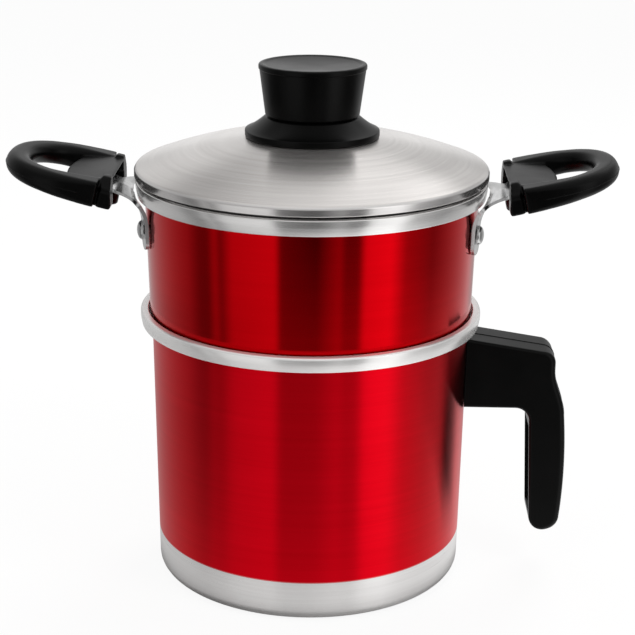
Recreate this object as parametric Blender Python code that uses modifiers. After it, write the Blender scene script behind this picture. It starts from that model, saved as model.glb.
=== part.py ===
# Two-tier aluminium couscous steamer: a lower pot with a side handle, a steamer basket with
# two loop handles that stands in the pot's rim, a loose perforated plate and a domed lid.
# Metres, +Z up, origin at the centre of the pot's base, +X towards the pot's side handle.

import math

import bmesh
import bpy
from mathutils import Matrix, Vector

MM = 0.001

# Clearances
GAP = 0.3 * MM              # between pieces that touch on the real object
SEAT_CLEARANCE = 0.8 * MM   # basket foot in the pot's rim, radial
SPIGOT_CLEARANCE = 0.6 * MM  # lid spigot in the basket, radial
PLATE_CLEARANCE = 1.2 * MM  # steam plate in the basket, radial

# Pot
POT_RADIUS = 72.4 * MM      # outside, just under the rim
POT_TAPER = 1.8 * MM        # how much narrower the pot is at its foot
POT_WALL = 1.5 * MM
POT_BASE = 3.0 * MM
POT_CORNER = 5.0 * MM
POT_HEIGHT = 125.4 * MM
POT_RIM_HEIGHT = 6.6 * MM
POT_RIM_THICKNESS = 3.6 * MM
POT_LEDGE = 1.6 * MM        # step outwards from the wall to the seat's bore
BARE_BAND = 18.6 * MM       # bare metal above the base, under the red finish

# Basket
BASKET_HEIGHT = 64.3 * MM
BASKET_FLARE = 1.6 * MM     # how much wider the basket is under its rim
BASKET_WALL = 1.4 * MM
BASKET_LIP = 8.0 * MM       # inward lip that carries the plate
BASKET_LIP_THICKNESS = 1.5 * MM
BASKET_RIM_HEIGHT = 7.0 * MM
BASKET_RIM_OUTSET = 4.0 * MM
BASKET_RIM_THICKNESS = 3.0 * MM
RIM_ROUND = 0.8 * MM

# Steam plate
PLATE_THICKNESS = 1.5 * MM
PLATE_HOLE_RADIUS = 3.0 * MM
PLATE_RINGS = 3
PLATE_RING_STEP = 16.0 * MM
PLATE_KNOB_RADIUS = 7.0 * MM
PLATE_KNOB_HEIGHT = 12.0 * MM

# Lid
LID_OVERHANG = 0.5 * MM     # lid rim beyond the basket's rim
LID_SHADOW_GAP = 1.3 * MM   # open line under the lid's rim
LID_RIM_HEIGHT = 3.6 * MM
LID_SHOULDER = 2.0 * MM
LID_WALL = 1.3 * MM
LID_RISE = 14.6 * MM
LID_SPIGOT_DEPTH = 4.9 * MM
LID_SPIGOT_WALL = 1.2 * MM
LID_SEAT_WIDTH = 4.8 * MM

# Knob
KNOB_FLANGE_RADIUS = 30.0 * MM
KNOB_FLANGE_EDGE = 2.8 * MM
KNOB_BASE_HEIGHT = 8.8 * MM
KNOB_NECK_RADIUS = 21.0 * MM
KNOB_GRIP_HEIGHT = 23.1 * MM
KNOB_GRIP_FOOT_RADIUS = 20.9 * MM
KNOB_GRIP_TOP_RADIUS = 24.0 * MM
KNOB_BEAD = 0.4 * MM
KNOB_INSERT_RADIUS = 4.2 * MM
KNOB_INSERT_LENGTH = 12.0 * MM
KNOB_SCREW_RADIUS = 2.2 * MM
KNOB_SCREW_HEAD_RADIUS = 4.5 * MM
KNOB_SCREW_HEAD_HEIGHT = 2.8 * MM
KNOB_WASHER_RADIUS = 7.0 * MM
KNOB_WASHER_THICKNESS = 1.0 * MM

# Side handle of the pot
SIDE_WIDTH = 24.0 * MM
SIDE_EDGE_ROUND = 3.0 * MM
SIDE_DROP = 5.8 * MM          # from the pot's rim down to the block's top
SIDE_BLOCK_HEIGHT = 32.9 * MM
SIDE_TOP_SLOPE = math.radians(8.7)
SIDE_NECK_REACH = 40.5 * MM   # from the pot's wall to the neck's outer face
SIDE_NECK_HEIGHT = 0.55       # neck's lower end, as a part of the block's height
SIDE_GRIP_REACH = 46.9 * MM   # from the pot's wall to the grip's outer face
SIDE_FINGER_GAP = 29.4 * MM   # from the pot's wall to the grip, under the block
SIDE_GRIP_LEAN = 2.0 * MM     # outward lean of the grip's inner face
SIDE_GRIP_BOW = 7.0 * MM      # bow of its outer face, over twice the grip's height
SIDE_GRIP_LENGTH = 61.2 * MM  # from the block's lower face to the grip's end
SIDE_FILLET = 6.5 * MM
SIDE_CORNER = 6.0 * MM
SIDE_BRACKET_THICKNESS = 1.8 * MM
SIDE_BRACKET_WIDTH = 14.0 * MM
SIDE_BRACKET_HEIGHT = 23.0 * MM
SIDE_LUG_LENGTH = 24.0 * MM
SIDE_LUG_WIDTH = 11.0 * MM
SIDE_SCREW_OFFSET = 16.0 * MM
SIDE_SCREW_RADIUS = 2.0 * MM
SIDE_SCREW_HEAD_RADIUS = 3.6 * MM
SIDE_SCREW_HEAD_HEIGHT = 2.6 * MM
SIDE_RIVET_SPACING = 14.0 * MM

# Loop handles of the basket, in a frame that leans up and outwards
LOOP_TILT = math.radians(13.5)
LOOP_STANDOFF = 7.2 * MM    # from the basket's rim to the handle
LOOP_DROP = 4.1 * MM        # handle's mid-plane under the basket's rim
LOOP_END = 1.0 * MM         # upright end face towards the pot, out from the handle's origin
LOOP_LENGTH = 51.9 * MM
LOOP_WIDTH = 66.0 * MM
LOOP_BAR = 11.2 * MM
LOOP_THICKNESS = 11.5 * MM  # where the arms start
LOOP_TIP_THICKNESS = 8.8 * MM
LOOP_EDGE_ROUND = 4.2 * MM
LOOP_ROUNDNESS = 2.3        # exponent of the outline's oval end
LOOP_ARM_START = 7.3 * MM
LOOP_ARM_LENGTH = 12.5 * MM  # up to where the loop is widest
LOOP_ARM_PINCH = 1.0 * MM   # how much narrower each arm starts
LOOP_GROOVE = 0.7 * MM      # between an arm and its end block
LOOP_BLOCK_INNER = 18.5 * MM
LOOP_BLOCK_OUTER = 28.3 * MM
LOOP_BLOCK_TOP_OUTER = 23.0 * MM
LOOP_BLOCK_ROUND = 1.2 * MM
LOOP_BLOCK_BELOW = 6.2 * MM
LOOP_BLOCK_ABOVE = 7.4 * MM
LOOP_WEB_TOP = 7.0 * MM     # web's level top face above the handle's origin
LOOP_WEB_THICKNESS = 5.5 * MM
LOOP_WEB_LENGTH = 23.3 * MM
LOOP_WEB_BULGE = 4.8 * MM
LOOP_BOSS_RADIUS = 7.5 * MM
LOOP_BOSS_DEPTH = 10.0 * MM
LOOP_BOSS_LENGTH = 13.0 * MM
LOOP_SCREW_OFFSET = 7.0 * MM
LOOP_SCREW_RADIUS = 2.0 * MM
LOOP_SCREW_HEAD_RADIUS = 3.5 * MM
LOOP_SCREW_HEAD_HEIGHT = 2.4 * MM

# Sheet brackets of the loop handles
BRACKET_THICKNESS = 1.8 * MM
BRACKET_LEG_WIDTH = 11.2 * MM
BRACKET_LEG_ANGLE = math.radians(15.2)
BRACKET_LEG_LENGTH = 22.4 * MM   # from the rim's lower edge to the leg's end
BRACKET_PLATE_WIDTH = 25.0 * MM
BRACKET_PLATE_REACH = 14.0 * MM
BRACKET_PLATE_DROP = 0.8 * MM    # sheet's middle under the handle's mid-plane
BRACKET_BEND = 1.8 * MM          # how far the bend runs outside the rim

# Rivets
RIVET_RADIUS = 2.0 * MM
RIVET_HEAD_RADIUS = 4.4 * MM
RIVET_HEAD_HEIGHT = 2.3 * MM
RIVET_TAIL_RADIUS = 3.4 * MM
RIVET_TAIL_HEIGHT = 1.2 * MM
RIVET_DROP = 13.5 * MM           # loop bracket rivets under the rim's lower edge

SHELL_STEPS = 48
KNOB_STEPS = 32
FASTENER_STEPS = 12

# Sizes that follow from the ones above
pot_foot_radius = POT_RADIUS - POT_TAPER
pot_band_bottom = POT_HEIGHT - POT_RIM_HEIGHT
pot_ledge_z = pot_band_bottom + POT_WALL
pot_bore_radius = POT_RADIUS + POT_LEDGE
pot_rim_radius = pot_bore_radius + POT_RIM_THICKNESS
side_block_top = pot_band_bottom - SIDE_DROP
side_block_bottom = side_block_top - SIDE_BLOCK_HEIGHT
side_grip_bottom = side_block_bottom - SIDE_GRIP_LENGTH

basket_bottom = pot_ledge_z + GAP
basket_foot_radius = pot_bore_radius - SEAT_CLEARANCE
basket_top_radius = basket_foot_radius + BASKET_FLARE
basket_top = basket_bottom + BASKET_HEIGHT
basket_band_bottom = basket_top - BASKET_RIM_HEIGHT
basket_rim_radius = basket_top_radius + BASKET_RIM_OUTSET
basket_rim_bore = basket_rim_radius - BASKET_RIM_THICKNESS

plate_bottom = basket_bottom + BASKET_LIP_THICKNESS + GAP
plate_radius = basket_foot_radius - BASKET_WALL - PLATE_CLEARANCE

lid_radius = basket_rim_radius + LID_OVERHANG
lid_seat_z = basket_top + GAP
lid_rim_bottom = basket_top + LID_SHADOW_GAP
lid_rim_top = lid_rim_bottom + LID_RIM_HEIGHT
dome_radius = lid_radius - LID_SHOULDER
dome_foot = lid_rim_top + 0.65 * LID_SHOULDER
dome_top = dome_foot + LID_RISE
dome_curve = (dome_radius ** 2 + LID_RISE ** 2) / (2 * LID_RISE)
knob_hole_radius = KNOB_SCREW_RADIUS + GAP

loop_origin_x = basket_rim_radius + LOOP_STANDOFF
loop_origin_z = basket_top - LOOP_DROP


def pot_wall_radius(z):
    return pot_foot_radius + POT_TAPER * z / pot_band_bottom


def basket_wall_radius(z):
    share = (z - basket_bottom) / (basket_band_bottom - basket_bottom)
    return basket_foot_radius + BASKET_FLARE * share


def dome_height(radius):
    return dome_top - dome_curve + math.sqrt(dome_curve ** 2 - radius ** 2)


def arc(cx, cy, radius, start, end, count):
    """Points on a circle's arc, angles in degrees."""
    angles = [math.radians(start + (end - start) * i / count) for i in range(count + 1)]
    return [(cx + radius * math.cos(a), cy + radius * math.sin(a)) for a in angles]


# Scene, collections and materials

def clear_scene():
    for old in list(bpy.data.objects):
        bpy.data.objects.remove(old, do_unlink=True)


def new_collection(name):
    collection = bpy.data.collections.new(name)
    bpy.context.scene.collection.children.link(collection)
    return collection


def new_material(name, color, metallic, roughness):
    material = bpy.data.materials.new(name)
    material.use_nodes = True
    shader = material.node_tree.nodes["Principled BSDF"]
    shader.inputs["Base Color"].default_value = (*color, 1.0)
    shader.inputs["Metallic"].default_value = metallic
    shader.inputs["Roughness"].default_value = roughness
    return material


clear_scene()
parts = new_collection("couscous_steamer")
cutters = new_collection("cutters")
red_aluminium = new_material("red_aluminium", (0.55, 0.01, 0.01), 0.7, 0.2)
bare_aluminium = new_material("bare_aluminium", (0.78, 0.78, 0.77), 1.0, 0.3)
black_bakelite = new_material("black_bakelite", (0.015, 0.015, 0.015), 0.0, 0.35)
bright_steel = new_material("bright_steel", (0.7, 0.7, 0.7), 1.0, 0.2)
brass = new_material("brass", (0.75, 0.55, 0.25), 1.0, 0.3)


# Shape helpers

def add_object(name, data, material=None, matrix=None):
    """A part when it has a material, otherwise a cutter."""
    made = bpy.data.objects.new(name, data)
    (parts if material else cutters).objects.link(made)
    if material:
        data.materials.append(material)
    else:
        made.hide_render = True
        made.display_type = 'WIRE'
    if matrix is not None:
        made.matrix_world = matrix
    return made


def turned(name, profile, steps, material=None, matrix=None):
    """A profile of (radius, z) turned about Z, running down its outer side. A profile that
    starts and ends on the axis stays open, any other is closed into a ring."""
    on_axis = profile[0][0] == 0 and profile[-1][0] == 0
    count = len(profile)
    edges = [(i, i + 1) for i in range(count - 1)]
    if not on_axis:
        edges.append((count - 1, 0))
    mesh = bpy.data.meshes.new(name)
    mesh.from_pydata([(radius, 0, z) for radius, z in profile], edges, [])
    made = add_object(name, mesh, material, matrix)
    screw = made.modifiers.new("Turn", 'SCREW')
    screw.steps = steps
    screw.render_steps = steps
    screw.use_merge_vertices = True
    screw.merge_threshold = 0.00001
    screw.use_smooth_shade = True
    return made


def prism(name, outlines, low, high, material=None, matrix=None, weight=None):
    """Flat outlines in XY, filled and extruded from low to high along Z. Outlines inside the
    first one become holes. weight(x, y) sets how much of a rounding the rim edges there get."""
    curve = bpy.data.curves.new(name, 'CURVE')
    curve.dimensions = '2D'
    curve.fill_mode = 'BOTH'
    curve.extrude = (high - low) / 2
    for outline in outlines:
        spline = curve.splines.new('POLY')
        spline.points.add(len(outline) - 1)
        for point, (x, y) in zip(spline.points, outline):
            point.co = (x, y, 0, 1)
        spline.use_cyclic_u = True
    guide = bpy.data.objects.new(name + "_outline", curve)
    bpy.context.scene.collection.objects.link(guide)
    guide.location = (0, 0, (low + high) / 2)
    if matrix is not None:
        guide.matrix_world = matrix @ Matrix.Translation(guide.location)
    bpy.context.view_layer.update()
    graph = bpy.context.evaluated_depsgraph_get()
    mesh = bpy.data.meshes.new_from_object(guide.evaluated_get(graph))
    world = guide.matrix_world.copy()
    bpy.data.objects.remove(guide)
    weld(mesh, len(outlines) == 1, weight)
    mesh.materials.clear()
    mesh.name = name
    return add_object(name, mesh, material, world)


def weld(mesh, flat_caps, weight):
    """Joins the sides to the caps. With flat_caps each cap becomes one face."""
    shape = bmesh.new()
    shape.from_mesh(mesh)
    bmesh.ops.remove_doubles(shape, verts=shape.verts, dist=0.000001)
    if flat_caps:
        inside_cap = [edge for edge in shape.edges
                      if all(abs(face.normal.z) > 0.99 for face in edge.link_faces)]
        bmesh.ops.dissolve_edges(shape, edges=inside_cap)
    bmesh.ops.recalc_face_normals(shape, faces=shape.faces)
    if weight:
        layer = shape.edges.layers.float.new("bevel_weight_edge")
        for edge in shape.edges:
            if sum(abs(face.normal.z) > 0.99 for face in edge.link_faces) == 1:
                centre = (edge.verts[0].co + edge.verts[1].co) / 2
                edge[layer] = weight(centre.x, centre.y)
    shape.to_mesh(mesh)
    shape.free()


def block(name, low, high, material=None, matrix=None):
    mesh = bpy.data.meshes.new(name)
    shape = bmesh.new()
    bmesh.ops.create_cube(shape, size=1)
    size = Vector(high) - Vector(low)
    centre = (Vector(high) + Vector(low)) / 2
    place = Matrix.Translation(centre) @ Matrix.Diagonal((*size, 1))
    bmesh.ops.transform(shape, matrix=place, verts=shape.verts)
    shape.to_mesh(mesh)
    shape.free()
    return add_object(name, mesh, material, matrix)


def rod(name, radius, low, high, steps, matrix=None, top_radius=None):
    """A closed cylinder or cone along Z, for cutting with."""
    mesh = bpy.data.meshes.new(name)
    shape = bmesh.new()
    upper = radius if top_radius is None else top_radius
    bmesh.ops.create_cone(shape, cap_ends=True, segments=steps, radius1=radius, radius2=upper,
                          depth=high - low)
    bmesh.ops.translate(shape, vec=(0, 0, (low + high) / 2), verts=shape.verts)
    shape.to_mesh(mesh)
    shape.free()
    return add_object(name, mesh, None, matrix)


def rounded(made, width, segments, by_weight=False):
    bevel = made.modifiers.new("Rounding", 'BEVEL')
    bevel.width = width
    bevel.segments = segments
    bevel.limit_method = 'WEIGHT' if by_weight else 'ANGLE'
    bevel.angle_limit = math.radians(40)
    return made


def boolean(made, other, operation='DIFFERENCE'):
    modifier = made.modifiers.new(operation.title() + " " + other.name, 'BOOLEAN')
    modifier.operation = operation
    modifier.object = other
    modifier.solver = 'EXACT'
    return made


def frame(name, matrix):
    """An empty that carries the pieces of one moving group."""
    empty = bpy.data.objects.new(name, None)
    parts.objects.link(empty)
    empty.matrix_world = matrix
    return empty


def carry(empty, pieces):
    bpy.context.view_layer.update()
    for piece in pieces:
        piece.parent = empty
        piece.matrix_parent_inverse = empty.matrix_world.inverted()


# Fasteners

def rivet(name, grip, matrix):
    """Domed head outside, flat tail inside. Z points outwards, with zero at the head's seat."""
    dome = [(RIVET_HEAD_RADIUS * math.cos(a), RIVET_HEAD_HEIGHT * math.sin(a))
            for a in (math.radians(d) for d in (66, 44, 22, 0))]
    tail_top = -grip
    profile = [(0, RIVET_HEAD_HEIGHT), *dome, (RIVET_RADIUS, 0), (RIVET_RADIUS, tail_top),
               (RIVET_TAIL_RADIUS, tail_top), (0.8 * RIVET_TAIL_RADIUS, tail_top - RIVET_TAIL_HEIGHT),
               (0, tail_top - RIVET_TAIL_HEIGHT)]
    return turned(name, profile, FASTENER_STEPS, bright_steel, matrix)


def pan_screw(name, radius, length, head_radius, head_height, matrix):
    """Shank up, head down. Z = 0 is the head's seat."""
    profile = [(0, length), (0.7 * radius, length), (radius, length - 0.5 * radius), (radius, 0),
               (head_radius, 0), (head_radius, -0.55 * head_height),
               (0.7 * head_radius, -head_height), (0, -head_height)]
    screw = turned(name, profile, FASTENER_STEPS, bright_steel, matrix)
    slot = block(name + "_slot", (-head_radius - GAP, -0.15 * head_radius, -head_height - GAP),
                 (head_radius + GAP, 0.15 * head_radius, -0.55 * head_height), None, matrix)
    return boolean(screw, slot)


# Pot

def pot_shell():
    floor_corner = POT_CORNER - POT_WALL
    inner_foot = pot_foot_radius - POT_WALL
    inside = [(0, POT_BASE)]
    inside += arc(inner_foot - floor_corner, POT_BASE + floor_corner, floor_corner, -90, 0, 2)
    inside += [(POT_RADIUS - POT_WALL, pot_ledge_z), (pot_bore_radius, pot_ledge_z),
               (pot_bore_radius, POT_HEIGHT - RIM_ROUND)]
    rim = [(pot_bore_radius + RIM_ROUND, POT_HEIGHT), (pot_rim_radius - RIM_ROUND, POT_HEIGHT),
           (pot_rim_radius, POT_HEIGHT - RIM_ROUND), (pot_rim_radius, pot_band_bottom)]
    outside = [(POT_RADIUS, pot_band_bottom), (pot_wall_radius(BARE_BAND), BARE_BAND)]
    outside += arc(pot_foot_radius - POT_CORNER, POT_CORNER, POT_CORNER, 0, -90, 3)
    return turned("pot_shell", inside + rim + outside + [(0, 0)], SHELL_STEPS, red_aluminium)


def top_drop(distance):
    return distance * math.tan(SIDE_TOP_SLOPE)


def side_outline(wall):
    """The side handle seen from the side, as (x, z): along its lower edge, round the grip's
    end, up its outer face and back along the top."""
    inner_x = wall + SIDE_FINGER_GAP
    outer_x = wall + SIDE_GRIP_REACH
    neck_x = wall + SIDE_NECK_REACH
    root_x = wall - POT_WALL - SIDE_EDGE_ROUND
    height = side_block_bottom - side_grip_bottom

    def back(level):
        return outer_x - SIDE_GRIP_BOW * (level - 0.52) ** 2, side_grip_bottom + height * level

    foot_x = inner_x + SIDE_GRIP_LEAN
    tip_radius = (back(0.11)[0] - foot_x) / 2
    outline = [(root_x, side_block_bottom)]
    outline += arc(inner_x - SIDE_FILLET, side_block_bottom - SIDE_FILLET, SIDE_FILLET, 90, 0, 4)
    outline += arc(foot_x + tip_radius, side_grip_bottom + tip_radius, tip_radius, 180, 360, 10)
    outline += [back(level) for level in (0.3, 0.52, 0.74, 0.94)]
    start_x, start_z = outline[-1]
    end_z = side_block_bottom + SIDE_NECK_HEIGHT * (side_block_top - side_block_bottom)
    for t in (0.25, 0.5, 0.75, 1.0):
        ease = t * t * (3 - 2 * t)
        outline.append((start_x + (neck_x - start_x) * ease, start_z + (end_z - start_z) * t))
    corner_x = neck_x - SIDE_CORNER
    corner_z = side_block_top - top_drop(corner_x - wall) - SIDE_CORNER / math.cos(SIDE_TOP_SLOPE)
    outline += arc(corner_x, corner_z, SIDE_CORNER, 0, 90 - math.degrees(SIDE_TOP_SLOPE), 4)
    outline.append((root_x, side_block_top - top_drop(root_x - wall)))
    return outline


def side_rounding(wall):
    """Full rounding on the grip's back, less on top and little on the side towards the pot."""
    def weight(x, z):
        if x > wall + SIDE_NECK_REACH - SIDE_CORNER:
            return 1.0
        return 0.65 if z > (side_block_bottom + side_block_top) / 2 else 0.4
    return weight


def side_handle(wall, wall_cutter, lug_z, seat_x):
    upright = Matrix.Rotation(math.radians(90), 4, 'X')
    handle = prism("pot_handle", [side_outline(wall)], -SIDE_WIDTH / 2, SIDE_WIDTH / 2,
                   black_bakelite, upright, side_rounding(wall))
    rounded(handle, SIDE_EDGE_ROUND, 2, True)
    pocket_x = seat_x + SIDE_BRACKET_THICKNESS + RIVET_HEAD_HEIGHT + 2 * GAP
    half = SIDE_BRACKET_WIDTH / 2 + GAP
    pocket = block("pot_handle_pocket", (wall - 2 * POT_WALL, -half, lug_z - SIDE_BRACKET_HEIGHT / 2 - GAP),
                   (pocket_x, half, lug_z + SIDE_BRACKET_HEIGHT / 2 + GAP))
    half = SIDE_LUG_WIDTH / 2 + GAP
    slot = block("pot_handle_slot", (wall, -half, lug_z - SIDE_BRACKET_THICKNESS / 2 - GAP),
                 (seat_x + SIDE_LUG_LENGTH + GAP, half, lug_z + SIDE_BRACKET_THICKNESS / 2 + GAP))
    screw_x = seat_x + SIDE_SCREW_OFFSET
    at_screw = Matrix.Translation((screw_x, 0, 0))
    head_z = side_block_bottom + SIDE_SCREW_HEAD_HEIGHT + 2 * GAP
    bore = rod("pot_handle_bore", SIDE_SCREW_RADIUS + GAP, side_block_bottom, side_bore_top(),
               FASTENER_STEPS, at_screw)
    sink = rod("pot_handle_sink", SIDE_SCREW_HEAD_RADIUS + GAP, side_block_bottom - SIDE_EDGE_ROUND, head_z,
               FASTENER_STEPS, at_screw)
    for cutter in (wall_cutter, pocket, slot, bore, sink):
        boolean(handle, cutter)
    screw = pan_screw("pot_handle_screw", SIDE_SCREW_RADIUS, side_bore_top() - head_z - GAP,
                      SIDE_SCREW_HEAD_RADIUS, SIDE_SCREW_HEAD_HEIGHT,
                      Matrix.Translation((screw_x, 0, head_z - GAP)))
    return [handle, screw]


def side_bore_top():
    solid_over_bore = 4.0 * MM
    return side_block_top - top_drop(SIDE_SCREW_OFFSET + SIDE_SCREW_RADIUS) - solid_over_bore


def side_bracket(wall, wall_cutter, lug_z, seat_x):
    half = SIDE_BRACKET_WIDTH / 2
    bracket = block("pot_handle_bracket",
                    (wall - POT_WALL, -half, lug_z - SIDE_BRACKET_HEIGHT / 2),
                    (seat_x + SIDE_BRACKET_THICKNESS, half, lug_z + SIDE_BRACKET_HEIGHT / 2),
                    bare_aluminium)
    half = SIDE_LUG_WIDTH / 2
    lug = block("side_bracket_lug",
                (seat_x + SIDE_BRACKET_THICKNESS / 2, -half, lug_z - SIDE_BRACKET_THICKNESS / 2),
                (seat_x + SIDE_LUG_LENGTH, half, lug_z + SIDE_BRACKET_THICKNESS / 2))
    boolean(bracket, lug, 'UNION')
    boolean(bracket, wall_cutter)
    boolean(bracket, rod("side_bracket_hole", SIDE_SCREW_RADIUS + GAP, lug_z - SIDE_BRACKET_WIDTH,
                         lug_z + SIDE_BRACKET_WIDTH, FASTENER_STEPS,
                         Matrix.Translation((seat_x + SIDE_SCREW_OFFSET, 0, 0))))
    return bracket


def build_pot():
    shell = pot_shell()
    lug_z = (side_block_bottom + side_block_top) / 2
    wall = pot_wall_radius(lug_z)
    seat_x = pot_wall_radius(lug_z + SIDE_BRACKET_HEIGHT / 2) + GAP
    low, high = side_block_bottom - POT_RIM_HEIGHT, side_block_top + POT_RIM_HEIGHT
    wall_cutter = rod("pot_wall_cutter", pot_wall_radius(low) + GAP, low, high, 2 * SHELL_STEPS,
                      top_radius=pot_wall_radius(high) + GAP)
    bracket = side_bracket(wall, wall_cutter, lug_z, seat_x)
    pieces = [shell, bracket, *side_handle(wall, wall_cutter, lug_z, seat_x)]
    for level, side in (("lower", -0.5), ("upper", 0.5)):
        z = lug_z + side * SIDE_RIVET_SPACING
        outwards = Matrix.Rotation(math.radians(90), 4, 'Y')
        place = Matrix.Translation((seat_x + SIDE_BRACKET_THICKNESS + GAP, 0, z)) @ outwards
        grip = seat_x + SIDE_BRACKET_THICKNESS + 2 * GAP - pot_wall_radius(z) + POT_WALL
        pieces.append(rivet("pot_bracket_rivet_" + level, grip, place))
        hole = rod("pot_rivet_hole_" + level, RIVET_RADIUS + GAP, -RIVET_HEAD_RADIUS * 2, RIVET_HEAD_RADIUS,
                   FASTENER_STEPS, place)
        boolean(shell, hole)
        boolean(bracket, hole)
    carry(frame("pot_frame", Matrix.Identity(4)), pieces)


# Basket

def basket_shell():
    inner_foot = basket_foot_radius - BASKET_WALL
    lip_top = basket_bottom + BASKET_LIP_THICKNESS
    flare = basket_rim_bore - (basket_top_radius - BASKET_WALL)
    inside = [(inner_foot - BASKET_LIP, basket_bottom), (inner_foot - BASKET_LIP, lip_top),
              (inner_foot, lip_top), (basket_top_radius - BASKET_WALL, basket_band_bottom),
              (basket_rim_bore, basket_band_bottom + flare), (basket_rim_bore, basket_top - RIM_ROUND),
              (basket_rim_bore + RIM_ROUND, basket_top)]
    outside = [(basket_rim_radius - RIM_ROUND, basket_top), (basket_rim_radius, basket_top - RIM_ROUND),
               (basket_rim_radius, basket_band_bottom), (basket_top_radius, basket_band_bottom),
               (basket_foot_radius, basket_bottom + RIM_ROUND),
               (basket_foot_radius - RIM_ROUND, basket_bottom)]
    return turned("basket_shell", inside + outside, SHELL_STEPS, red_aluminium)


def loop_frame():
    """The handle's own axes: X out along the loop, Z up through it."""
    return (Matrix.Translation((loop_origin_x, 0, loop_origin_z))
            @ Matrix.Rotation(-LOOP_TILT, 4, 'Y'))


def half_turn(side):
    return Matrix.Rotation(math.pi if side == "left" else 0, 4, 'Z')


def loop_arch(inset, count):
    """From one arm round the tip to the other: two slightly pinched arms and half an oval."""
    middle = LOOP_ARM_START + LOOP_ARM_LENGTH
    length = LOOP_LENGTH - middle - inset
    half_width = LOOP_WIDTH / 2 - inset
    arm = [(middle - LOOP_ARM_LENGTH * t, half_width - LOOP_ARM_PINCH * t * t) for t in (1, 0.6, 0.25)]
    points = [(u, -v) for u, v in arm]
    for i in range(count + 1):
        angle = math.pi * (i / count - 0.5)
        cos, sin = abs(math.cos(angle)), math.sin(angle)
        along = cos ** (2 / LOOP_ROUNDNESS)
        across = math.copysign(abs(sin) ** (2 / LOOP_ROUNDNESS), sin)
        points.append((middle + length * along, half_width * across))
    return points + arm[::-1]


def bar_section(half_width, half_height, radius):
    """A rounded rectangle, anticlockwise from the middle of its right side."""
    points = []
    for corner in range(4):
        turn = math.radians(90 * corner)
        side_x = 1 if corner in (0, 3) else -1
        side_y = 1 if corner < 2 else -1
        centre = (side_x * (half_width - radius), side_y * (half_height - radius))
        points += arc(*centre, radius, math.degrees(turn), math.degrees(turn) + 90, 2)
    return points


def loop_bar(name, matrix):
    """The loop's bar, swept along its arch: nearly square where it starts, full round at the tip."""
    mesh = bpy.data.meshes.new(name)
    shape = bmesh.new()
    rings = []
    for (u_out, v_out), (u_in, v_in) in zip(loop_arch(0, 16), loop_arch(LOOP_BAR, 16)):
        outer, inner = Vector((u_out, v_out, 0)), Vector((u_in, v_in, 0))
        middle, across = (outer + inner) / 2, (outer - inner) / 2
        share = (u_out - LOOP_ARM_START) / (LOOP_LENGTH - LOOP_ARM_START)
        height = LOOP_THICKNESS + (LOOP_TIP_THICKNESS - LOOP_THICKNESS) * share
        section = bar_section(across.length, height / 2, LOOP_EDGE_ROUND * min(1.0, 0.35 + 1.1 * share))
        across.normalize()
        rings.append([shape.verts.new(middle + across * x + Vector((0, 0, y))) for x, y in section])
    for near, far in zip(rings, rings[1:]):
        for i, vert in enumerate(near):
            shape.faces.new((near[i - 1], vert, far[i], far[i - 1]))
    shape.faces.new(rings[0])
    shape.faces.new(rings[-1])
    bmesh.ops.recalc_face_normals(shape, faces=shape.faces)
    shape.to_mesh(mesh)
    shape.free()
    return add_object(name, mesh, black_bakelite, matrix)


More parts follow.
